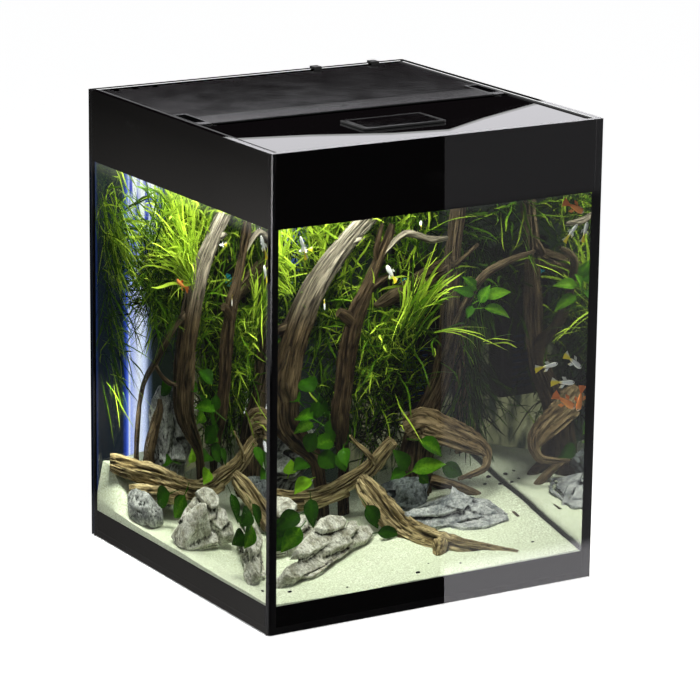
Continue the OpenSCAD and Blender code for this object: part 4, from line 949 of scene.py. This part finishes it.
# Painted shade: the tone falls to the dark one in the hollows
clear_of_pit_shade = span(rock, kept(rock, "relief"), 0.12, 0.62)
spotted = reckon(rock, "MULTIPLY_ADD", span(rock, spots, 0.36, 0.64), 0.70, 0.38)
tone = blend(rock, times(rock, clear_of_pit_shade, spotted), enter["Dark"], tone)
rock.links.new(tone, leave["Color"])
rock.links.new(reckon(rock, "ADD", spots, patches), leave["Height"])


def rock_material(name, dark, mid, pale):
    """Rock in three tones: the painted shade of its seams and hollows, its body and its open faces."""
    material, shader = new_material(name, mid, 0.8, specular=under_water)
    tree = material.node_tree
    face_of = place_group(tree, rock, Dark=(*dark, 1), Mid=(*mid, 1), Pale=(*pale, 1))
    tree.links.new(face_of["Color"], shader.inputs["Base Color"])
    raise_face(tree, shader, face_of["Height"], 0.8, 0.0015)
    return material


grey_rock = rock_material("grey_rock", (0.022, 0.021, 0.014), (0.36, 0.355, 0.26), (0.86, 0.87, 0.76))
dark_rock = rock_material("dark_rock", (0.016, 0.018, 0.018), (0.15, 0.16, 0.155), (0.58, 0.61, 0.57))
blue_slate = rock_material("blue_slate", (0.016, 0.020, 0.022), (0.17, 0.195, 0.20), (0.64, 0.67, 0.64))
dark_slate = rock_material("dark_slate", (0.008, 0.011, 0.012), (0.055, 0.066, 0.066), (0.30, 0.34, 0.34))
stone("front_stone", grey_rock, (0.38, -0.46, 0.80), 4.0, (-100, -90, 60), (0.77, 0.64, 0), [
    (-24, 1, [(-126, 0), (-108, 11), (-60, 10), (10, 5), (64, -1), (84, -12), (24, -13), (-32, -12),
              (-86, -14), (-112, -14), (-126, -7)]),
    (3, 12, [(-92, 15), (-64, 27), (-6, 36), (40, 34), (58, 22), (50, 8), (18, 5), (-42, 5), (-62, 4)]),
    (-8, 5, [(-58, 22), (14, 36), (70, 34), (80, 10), (-30, 12)]),
    (6, 15, [(30, 3), (56, 10), (84, 22), (98, 16), (88, 3), (50, -2)]),
    (-10, 7, [(56, -10), (78, 2), (108, 11), (130, 4), (124, -10), (94, -16)]),
    (14, 21, [(-6, 33), (20, 42), (46, 41), (70, 30), (68, 20), (52, 13), (20, 17), (0, 24)]),
], shrink=9, voxel=1.5 * mm, rough=1.0 * mm)
stone("left_stone", grey_rock, (-0.25, -0.60, 0.75), 9.0, (-185, 8, 70), (0.86, -0.35, 0), [
    (-26, 0, [(-46, -24), (-40, -10), (-8, -4), (28, 0), (60, -4), (60, -18), (8, -30), (-22, -36),
              (-40, -34)]),
    (2, 12, [(-34, 6), (-12, 26), (20, 46), (54, 46), (68, 26), (58, 12), (30, 4), (-2, 0)]),
    (-12, 9, [(46, 6), (66, 36), (88, 30), (90, 10), (64, -6)]),
    (-16, 3, [(60, -6), (86, 20), (100, 14), (98, -6), (66, -14)]),
    (13, 21, [(20, 48), (44, 58), (62, 54), (74, 40), (68, 26), (50, 22), (32, 32)]),
], voxel=1.6 * mm, rough=1.1 * mm, shrink=5)
stone("round_stone", dark_rock, (0.6, 0.2, 1), 14.0, rough=3.2 * mm, jut=0.8 * mm, shrink=1)
stone("rear_slate", dark_rock, (-0.55, -0.65, 0.5), 19.0, (-100, 160, 130), (0.8, -0.6, 0), [
    (-30, -4, [(-34, -10), (-26, 20), (-12, 48), (8, 70), (28, 80), (50, 72), (62, 50), (66, 20), (44, -8)]),
    (-8, 5, [(-6, 44), (20, 66), (40, 76), (66, 56), (62, 30), (24, 22), (4, 30)]),
    (-10, 6, [(-14, 16), (30, 22), (48, 12), (50, -8), (-14, -12)]),
    (-4, 9, [(-22, 28), (-8, 50), (12, 42), (-4, 14)]),
], layer=7 * mm, rough=1.2 * mm, jut=2.4 * mm, voxel=1.8 * mm)
stone("right_slate", blue_slate, (0, -0.6, 0.8), 24.0, (140, -40, 62), (1, -0.15, 0), [
    (-12, 6, [(-98, 18), (-57, 20), (-34, 22), (2, 10), (0, -10), (-26, -14), (-52, -15), (-75, -10)]),
    (8, 13, [(-96, 16), (-36, 20), (-4, 8), (-36, 2), (-90, 6)]),
    (-12, 16, [(-14, 48), (-32, 16), (-6, 2), (16, 20)]),
    (-12, 11, [(0, 32), (34, 23), (60, -8), (68, -22), (43, -26), (25, -20), (-2, -8), (-8, 14)]),
    (10, 15, [(2, 16), (24, 14), (44, -8), (30, -12), (6, 0)]),
    (-4, 6, [(-32, -20), (7, -13), (25, -22), (24, -29), (-12, -28)]),
], layer=5 * mm, rough=0.9 * mm, jut=2 * mm, shrink=7, voxel=1.5 * mm)
stone("middle_slate", dark_slate, (0, -0.7, 0.7), 29.0, (90, 50, 80), (1, -0.1, 0), [
    (-10, 4, [(-44, 30), (-21, 36), (18, 34), (34, 25), (30, 12), (-20, 14), (-40, 18)]),
    (-14, 0, [(-44, 14), (28, 12), (26, -4), (18, 4), (-33, 3)]),
], layer=4 * mm, jut=2 * mm)

# A few dark pebbles on the sand: the place and the radius of each, in millimetres
flatness, unevenness = 0.6, 0.3
bm = bmesh.new()
for x, y, size in ((-10, -212, 3.5), (214, 60, 3), (228, 78, 4), (232, 44, 3), (206, 96, 3), (-196, -190, 3),
                   (60, -205, 2), (186, -180, 2.5), (-120, -216, 2), (20, -180, 1.6)):
    for v in bmesh.ops.create_icosphere(bm, subdivisions=2, radius=size * mm)["verts"]:
        v.co.z *= flatness
        v.co += v.co * unevenness * noise.noise(v.co * 300 + Vector((x, y, 0)))
        v.co += Vector((x * mm, y * mm, sand_height(x * mm, y * mm)))
pebbles = finish_mesh("pebbles", bm, [dark_slate], sharp_over=60)
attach(pebbles, "tank")

# ---- narrow-leaved fern ----------------------------------------------------------------------------
# Tufts of long narrow leaves tied to the wood. Each leaf is a folded strip that bends over under its
# own weight. Its colour is painted light and shade: brighter towards its tip and where the light reaches
# it, darker where shade falls.


def leaf_material(name, deep, mid, bright, gloss):
    """A thin leaf: its tone, painted light and shade, comes from a value kept on each leaf, and some light
    comes through it.
    """
    material, shader = new_material(name, mid, gloss, specular=0.06)
    tree = material.node_tree
    speck = place_group(tree, mottle, Scale=260.0, Detail=3.0, Low=-0.07, High=0.07)["Value"]
    color = stepped(tree, reckon(tree, "ADD", kept(tree, "tone"), speck),
                    [(0.0, deep), (0.5, mid), (1.0, bright)])
    tree.links.new(color, shader.inputs["Base Color"])
    show(tree, either(tree, 0.35, shader, wire(tree, "BsdfTranslucent", {"Color": color})))
    return material


nozzle_low, nozzle_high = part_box("outlet_nozzle")
nozzle_reach = nozzle_high.y - nozzle_low.y


def in_nozzle_way(point):
    """Whether a point is where the outlet nozzle swings, which no leaf may be."""
    spare = 6 * mm
    return (nozzle_low.x - nozzle_reach < point.x < nozzle_high.x + nozzle_reach
            and nozzle_low.y - spare < point.y < nozzle_high.y + spare
            and nozzle_low.z - spare < point.z < nozzle_high.z + spare)


def fern_leaf(bm, base, heading, length, width, droop, tone, rng, trimmed):
    """One narrow leaf from its base; droop is how far the tip falls, as a share of the length."""
    stray, knee_at, fold_depth, ripple_depth, steps = 0.28, 0.55, 0.16, 0.35, 7
    bend = Vector((rng.uniform(-1, 1), rng.uniform(-1, 1), rng.uniform(-0.5, 0.5))) * stray * length
    knee = base + heading * length * knee_at
    tip = base + heading * length + bend + Vector((0, 0, -droop * length))

    def spine(t):
        return base * (1 - t) ** 2 + knee * 2 * t * (1 - t) + tip * t * t

    if trimmed and hangs_across([spine(0.15), spine(0.4), spine(0.7), spine(1)]):
        return
    lit_tone_layer = bm.verts.layers.float["tone"]
    ahead = (tip - base).normalized()
    side = ahead.cross(Vector((rng.gauss(0, 0.6), rng.gauss(0, 0.6), 1))).normalized()
    wave, twist = rng.uniform(0, 6.3), rng.gauss(0, 1.1)
    if any(in_nozzle_way(spine(k / steps)) for k in range(steps + 1)):
        return
    made = bmesh.ops.create_grid(bm, x_segments=2, y_segments=steps, size=0.5)["verts"]
    for v in made:
        u, t = v.co.x * 2, v.co.y + 0.5
        profile = (0.25 + 0.75 * math.sin(math.pi * min(1, t * 1.25) * 0.5)) * (1 - t ** 4)
        turned = Matrix.Rotation(twist * t, 3, ahead) @ side
        fold = ahead.cross(turned) * abs(u) * width * fold_depth
        ripple = turned * math.sin(wave + t * 9) * width * ripple_depth
        v.co = spine(t) + turned * u * width * 0.5 * profile + fold * profile + ripple
        # Painted light and shade: the tuft's tone, brighter towards the tip
        v[lit_tone_layer] = tone + 0.30 * (t - 0.45) + (0.06 if u == 0 else 0)


# The two ways in which the layout is looked at, bent by the water, and the wood kept clear for them
air_sight = -camera_back
sights = []
for axis in (1, 0):
    bent = air_sight / water_bending
    bent[axis] = 0
    bent[axis] = math.sqrt(1 - bent.length_squared)
    sights.append(bent)
clear_wood = [station for route in (main_way, middle_way, right_way, crossing_way[1:5])
              for station in smooth_route(route, 14 * mm)]


def hangs_across(points):
    """Whether a leaf would hang over the face of a trunk or of the crossing branch, so that it is trimmed."""
    margin = 2 * mm
    for sight in sights:
        for centre, radius in clear_wood:
            for point in points:
                gap = centre - point
                before = gap.dot(sight)
                aside = (gap - sight * before).length_squared
                if before > -radius and aside < (radius + margin) ** 2:
                    return True
    return False


def fern(name, node, tufts, material, seed):
    """A clump of tufts, as in the tables below. Where untrimmed is left out, few leaves cross the wood."""
    rng = random.Random(seed)
    crossing_share = 0.04
    bm = bmesh.new()
    bm.verts.layers.float.new("tone")
    for place, room, heading, spread, count, lengths, width, tone, *untrimmed in tufts:
        lean = Vector(heading).normalized()
        for _ in range(count):
            base = Vector([c + rng.gauss(0, 0.5) * r for c, r in zip(place, room)]) * mm
            way = (lean + Vector([rng.gauss(0, spread) for _ in range(3)])).normalized()
            trimmed = not untrimmed and rng.random() > crossing_share
            fern_leaf(bm, base, way, rng.uniform(*lengths) * mm, rng.uniform(0.55, 1.05) * width * mm,
                      rng.uniform(0.05, 0.5), tone + rng.gauss(0, 0.26), rng, trimmed)
    spare = 2 * mm
    low = Vector((inner_left + spare, inner_front + spare, 0))
    high = Vector((inner_right - spare, inner_rear - spare, water_top - 3 * mm))
    for v in bm.verts:
        v.co = Vector([min(max(c, a), b) for c, a, b in zip(v.co, low, high)])
    piece = finish_mesh(name, bm, [material], sharp_over=80)
    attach(piece, "tank")
    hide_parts(node)


fern_green = leaf_material("fern_green", (0.004, 0.014, 0.002), (0.062, 0.150, 0.004), (0.52, 0.72, 0.06),
                           0.35)
# place, room, heading, spread, count, lengths, width, tone (painted light and shade), untrimmed
fern("left_fern_leaves", "left_fern", [
    ((-86, 96, 385), (10, 10, 12), (-0.6, 0.2, 0.75), 0.32, 70, (80, 140), 5.5, 0.86, True),
    ((-96, 84, 420), (20, 20, 24), (-0.5, 0.1, 0.8), 0.45, 70, (60, 115), 5.0, 0.84),
    ((-66, 150, 450), (40, 25, 40), (-0.4, 0.1, 0.9), 0.5, 120, (60, 110), 5.0, 0.78),
    ((-130, 160, 400), (40, 30, 50), (-0.4, 0.1, 0.6), 0.7, 230, (45, 95), 4.5, 0.34),
    ((-140, 160, 355), (48, 35, 36), (-0.3, -0.1, 0.2), 0.8, 320, (35, 75), 3.6, 0.22),
    ((-96, 140, 330), (34, 22, 34), (-0.2, -0.2, 0.1), 0.8, 240, (30, 62), 3.4, 0.12),
    ((-120, 195, 390), (45, 20, 50), (0, -0.3, 0.2), 0.8, 140, (40, 80), 3.5, 0.14),
    ((-208, 215, 440), (40, 30, 70), (0, -0.6, -0.2), 0.8, 260, (45, 100), 4.0, 0.44),
    ((-220, 215, 310), (24, 26, 90), (0, -0.6, -0.4), 0.8, 110, (45, 100), 3.5, 0.30),
    ((-70, 150, 340), (40, 20, 90), (0.1, 0, 0.3), 0.8, 120, (40, 80), 4.0, 0.08),
], fern_green, 11)
fern("middle_fern_leaves", "middle_fern", [
    ((75, 90, 300), (55, 45, 60), (0.0, -0.5, 0.5), 0.75, 520, (45, 95), 4.5, 0.44),
    ((92, 64, 325), (18, 16, 16), (0.35, -0.2, 0.9), 0.28, 44, (80, 145), 5.5, 0.56, True),
    ((50, 90, 240), (55, 35, 40), (0.0, -0.6, 0.2), 0.8, 360, (35, 80), 4.0, 0.24),
    ((112, 95, 360), (34, 34, 60), (0.1, -0.4, 0.6), 0.7, 340, (50, 105), 5.0, 0.42),
    ((120, 105, 470), (40, 30, 60), (0.1, -0.3, 0.5), 0.7, 240, (50, 100), 5.0, 0.38),
    ((112, 90, 250), (30, 34, 60), (0.1, -0.4, 0.3), 0.7, 260, (40, 85), 4.5, 0.20),
    ((90, 130, 220), (70, 40, 80), (0, -0.4, 0.3), 0.8, 300, (40, 80), 4.0, 0.12),
    ((80, 160, 160), (60, 30, 34), (0, -0.3, 0.3), 0.8, 260, (40, 80), 4.5, 0.03),
    ((60, 45, 195), (20, 12, 10), (0, -0.6, 0.3), 0.7, 50, (25, 55), 4.0, 0.62),
    ((98, 0, 322), (4, 4, 4), (1, -0.1, 0.15), 0.18, 5, (80, 110), 4.5, 0.60, True),
    ((165, -38, 306), (4, 4, 4), (1, -0.1, 0.3), 0.16, 3, (50, 75), 4.0, 0.60, True),
], fern_green, 12)
fern("top_fern_leaves", "top_fern", [
    ((0, 150, 400), (34, 25, 50), (0, 0.1, 0.8), 0.6, 240, (55, 100), 5.0, 0.72),
    ((-20, 150, 330), (36, 25, 60), (0, -0.1, 0.5), 0.7, 260, (45, 90), 4.5, 0.34),
    ((30, 165, 470), (80, 30, 40), (0, 0, 0.6), 0.7, 300, (55, 110), 5.0, 0.68),
    ((95, 150, 430), (50, 30, 50), (-0.2, 0, 0.6), 0.7, 240, (55, 110), 5.0, 0.46),
    ((60, 190, 300), (100, 25, 180), (0, -0.5, 0.2), 0.8, 320, (50, 90), 5.0, 0.08),
    ((-10, 110, 215), (36, 20, 60), (0, 0, 0.4), 0.7, 110, (35, 70), 3.8, 0.22),
    ((200, 155, 400), (22, 30, 120), (0, -0.1, 0.2), 0.8, 220, (40, 85), 5.0, 0.04),
    # The five tufts below are toned near black as painted shade: one behind the front left of the wood, four
    # along the right pane
    ((-48, 205, 375), (26, 12, 60), (0, -0.2, 0.2), 0.8, 220, (40, 80), 5.0, 0.10, True),
    ((236, 196, 225), (3, 20, 70), (0, -0.2, -0.6), 0.5, 220, (40, 90), 4.0, 0.04, True),
    ((236, 182, 375), (3, 22, 60), (0, -0.2, -0.6), 0.5, 260, (40, 80), 4.5, 0.06, True),
    ((236, 224, 325), (3, 20, 36), (0, -0.2, -0.6), 0.5, 200, (35, 70), 4.5, 0.06, True),
    ((236, 212, 405), (3, 16, 30), (0, -0.2, -0.6), 0.5, 180, (35, 70), 4.5, 0.06, True),
    ((230, 60, 480), (10, 90, 50), (-0.2, -0.5, 0), 0.8, 26, (40, 80), 4.5, 0.20),
], fern_green, 13)

# ---- broad-leaved anubias --------------------------------------------------------------------------
# Firm oval leaves on thin stalks, with a groove along the middle, growing from the wood and between
# the stones. Places are millimetres: the leaf's base, its tip, its width and its tone, which is painted
# light and shade.


def broad_leaf(bm, base, tip, width, tone, face_up):
    """One oval leaf, cupped along its middle and bent down at its tip, with a short stalk."""
    lit_tone_layer = bm.verts.layers.float["tone"]
    arch_share, cup_share, stalk_half, stalk_arch = 0.10, 0.16, 0.7 * mm, 0.6 * mm
    base, tip = Vector(base) * mm, Vector(tip) * mm
    width *= mm
    ahead = tip - base
    length = ahead.length
    ahead.normalize()
    up_way = Vector(face_up)
    up_way = (up_way - ahead * up_way.dot(ahead)).normalized()
    side = ahead.cross(up_way)
    made = bmesh.ops.create_grid(bm, x_segments=4, y_segments=8, size=0.5)["verts"]
    for v in made:
        u, t = v.co.x * 2, v.co.y + 0.5
        profile = math.sin(math.pi * t ** 0.72) ** 0.95 if 0 < t < 1 else 0.02
        arch = 4 * t * (1 - t) * arch_share * length
        cup = (abs(u) ** 1.5) * width * cup_share * profile
        v.co = base + ahead * t * length + side * u * width * 0.5 * profile + up_way * (arch + cup)
        # Painted light and shade: the leaf's tone, a little brighter along its middle and towards its tip
        v[lit_tone_layer] = tone - 0.12 + 0.06 * (0.5 - abs(u)) + (0.09 if u == 0 else 0) + 0.08 * t
    stalk = bmesh.ops.create_grid(bm, x_segments=1, y_segments=4, size=0.5)["verts"]
    root = base - ahead * length * 0.35 - up_way * length * 0.25
    for v in stalk:
        u, t = v.co.x * 2, v.co.y + 0.5
        v.co = root.lerp(base, t) + side * u * stalk_half + up_way * stalk_arch * math.sin(t * 3)
        v[lit_tone_layer] = tone - 0.1


def anubias(name, node, leaves, seed):
    """A group of broad leaves, which stands for a packed clump where node names one."""
    rng = random.Random(seed)
    bm = bmesh.new()
    bm.verts.layers.float.new("tone")
    fullness = 1.08
    for base, tip, width, tone in leaves:
        tilt = (-0.35 + rng.gauss(0, 0.15), -0.75 + rng.gauss(0, 0.12), 0.55 + rng.gauss(0, 0.15))
        broad_leaf(bm, base, tip, width * fullness, tone, tilt)
    piece = finish_mesh(name, bm, [anubias_green], sharp_over=80)
    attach(piece, "tank")
    if node:
        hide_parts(node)


anubias_green = leaf_material("anubias_green", (0.004, 0.018, 0.002), (0.030, 0.115, 0.003),
                              (0.26, 0.56, 0.02), 0.26)
anubias("left_anubias_leaves", "left_anubias", [
    ((-50, 90, 200), (-82, 84, 190), 18, 0.62), ((-48, 104, 224), (-22, 96, 206), 26, 0.22),
    ((-20, 82, 172), (-64, 74, 172), 22, 0.55), ((-24, 88, 202), (-22, 80, 170), 18, 0.40),
    ((0, 92, 196), (0, 84, 162), 18, 0.42), ((-48, 74, 158), (-24, 66, 138), 26, 0.30),
    ((-22, 72, 154), (-8, 66, 130), 20, 0.38), ((-70, 60, 152), (-96, 50, 146), 24, 0.30),
    ((-64, 64, 128), (-92, 56, 112), 22, 0.90), ((-70, 92, 232), (-74, 122, 234), 20, 0.50),
    ((-62, 58, 250), (-70, 88, 262), 28, 0.25), ((-68, 44, 216), (-74, 96, 208), 24, 0.55),
    ((-58, 50, 238), (-56, 60, 212), 20, 0.35), ((-60, 52, 194), (-64, 74, 164), 24, 0.32),
    ((-82, 102, 130), (-80, 98, 152), 20, 0.95), ((-104, 132, 126), (-96, 176, 114), 18, 0.45),
    ((-108, 128, 238), (-112, 158, 214), 22, 0.40),
], 21)
anubias("right_anubias_leaves", "right_anubias", [
    ((91, 25, 167), (126, 21, 140), 26, 0.58), ((78, 20, 126), (130, 14, 130), 24, 0.66),
    ((73, 25, 130), (46, 20, 162), 22, 0.42), ((66, 20, 129), (42, 16, 120), 18, 0.40),
    ((132, 35, 124), (164, 30, 107), 22, 0.36), ((92, 24, 118), (104, 18, 106), 14, 0.52),
    ((-2, 0, 94), (13, -8, 60), 22, 0.26), ((3, -30, 60), (36, -36, 54), 18, 0.24),
], 22)
anubias("low_leaves", None, [
    ((-156, -128, 110), (-188, -134, 82), 26, 0.60), ((-170, -120, 96), (-206, -116, 84), 24, 0.22),
    ((-168, 84, 98), (-166, 122, 72), 30, 0.25), ((-165, 45, 106), (-168, 72, 66), 26, 0.55),
    ((-150, 60, 100), (-150, 86, 74), 22, 0.20), ((-100, -26, 122), (-104, -48, 86), 20, 0.22),
    ((-108, -54, 80), (-112, -94, 72), 20, 0.20), ((-62, -56, 192), (-66, -80, 170), 18, 0.45),
    ((-156, -124, 128), (-196, -130, 112), 26, 0.22), ((-172, -122, 108), (-206, -128, 124), 22, 0.30),
], 23)
anubias("antler_leaves", None, [
    ((166, -30, 366), (208, -34, 370), 17, 0.72), ((167, -30, 352), (206, -36, 334), 18, 0.66),
    ((160, -30, 360), (174, -36, 384), 16, 0.60), ((155, -20, 371), (120, -22, 382), 14, 0.50),
    ((162, -14, 376), (136, -18, 398), 14, 0.56), ((150, -24, 356), (140, -30, 340), 12, 0.45),
], 24)

# ---- fish ------------------------------------------------------------------------------------------
# Small live-bearing fish, 16 to 42 mm long: silver ones with yellow tails and orange ones with pale
# bellies. Each has a spindle body, a fan tail, a back fin and a belly fin.


def fish(bm, place, heading, length, tall):
    """One fish by the middle of its body and the way it swims."""
    along_layer = bm.verts.layers.float["along"]
    rise_layer = bm.verts.layers.float["rise"]
    ahead = Vector(heading).normalized()
    side = ahead.cross(Vector((0, 0, 1))).normalized()
    up_way = side.cross(ahead)
    place, length = Vector(place) * mm, length * mm
    body_share, tail_from = 0.72, 0.68

    def set_at(v, t, u, w):
        v.co = place + ahead * (0.5 - t) * length + up_way * u * length + side * w * length
        v[along_layer], v[rise_layer] = t, u / tall

    for v in bmesh.ops.create_uvsphere(bm, u_segments=14, v_segments=10, radius=0.5)["verts"]:
        t = 0.5 - v.co.z
        taper = (1 - 0.45 * t) * (1.15 if t < 0.4 else 1)
        set_at(v, t * body_share, v.co.x * tall * taper, v.co.y * 0.6 * tall * taper)
    for v in bmesh.ops.create_grid(bm, x_segments=6, y_segments=4, size=0.5)["verts"]:
        t = v.co.y + 0.5
        fan = v.co.x * (0.07 + 0.26 * t)
        set_at(v, tail_from + (1 - tail_from) * t - 0.05 * abs(v.co.x) * t, fan,
               0.012 * math.sin(t * 5 + v.co.x * 9))
    for sign, start in ((1, 0.34), (-1, 0.40)):
        for v in bmesh.ops.create_grid(bm, x_segments=3, y_segments=3, size=0.5)["verts"]:
            t, h = v.co.x + 0.5, v.co.y + 0.5
            set_at(v, start + 0.16 * t + 0.08 * h, sign * (tall * 0.42 + 0.11 * h), 0.004 * math.sin(t * 9))


def shoal(name, fishes, back, body, tail, belly):
    """Fish of one colouring, from nose to tail and from belly to back."""
    material, shader = new_material(name + "_scales", body, 0.25, specular=0.3)
    tree = material.node_tree
    along, rise = kept(tree, "along"), kept(tree, "rise")
    tone = stepped(tree, along, [(0.0, belly), (0.12, body), (0.5, body), (0.68, tail), (1.0, tail)])
    tone = blend(tree, span(tree, rise, 0.1, 0.5), tone, (*back, 1))
    eye = times(tree, reckon(tree, "COMPARE", along, 0.075, 0.022), reckon(tree, "COMPARE", rise, 0.10, 0.10))
    tree.links.new(blend(tree, eye, tone, (0.01, 0.01, 0.01, 1)), shader.inputs["Base Color"])
    bm = bmesh.new()
    bm.verts.layers.float.new("along")
    bm.verts.layers.float.new("rise")
    for values in fishes:
        fish(bm, *values)
    bmesh.ops.remove_doubles(bm, verts=bm.verts, dist=1e-6)
    piece = finish_mesh(name, bm, [material], sharp_over=60)
    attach(piece, "tank")


shoal("silver_fish", [
    ((33, 0, 410), (-0.55, -0.2, 0.75), 32, 0.26), ((78, 0, 472), (0.3, 0.8, 0.2), 22, 0.34),
    ((178, -230, 301), (1, -0.05, 0.10), 36, 0.19), ((222, -226, 302), (0.75, 0.1, -0.6), 38, 0.22),
    ((204, -232, 276), (1, 0.05, -0.16), 40, 0.20), ((211, -230, 478), (0.65, -0.05, 0.7), 30, 0.20),
    ((233, -231, 477), (0.25, -0.05, 0.95), 28, 0.22), ((-170, -166, 491), (-0.1, 0.45, 0.85), 32, 0.22),
    ((-99, 0, 457), (-1, 0.1, -0.05), 20, 0.18), ((-70, 0, 380), (0.1, 0.1, -0.95), 16, 0.24),
], (0.50, 0.52, 0.46), (0.78, 0.82, 0.80), (0.80, 0.66, 0.03), (0.88, 0.88, 0.84))
shoal("orange_fish", [
    ((207, -232, 250), (0.8, -0.05, -0.55), 42, 0.26), ((234, -230, 250), (-0.15, 0.05, -0.95), 36, 0.28),
    ((214, -231, 513), (0.85, 0, -0.45), 38, 0.26), ((-150, 66, 391), (-0.1, 0.95, 0.25), 32, 0.24),
], (0.62, 0.15, 0.03), (0.80, 0.30, 0.08), (0.60, 0.16, 0.03), (0.80, 0.74, 0.62))
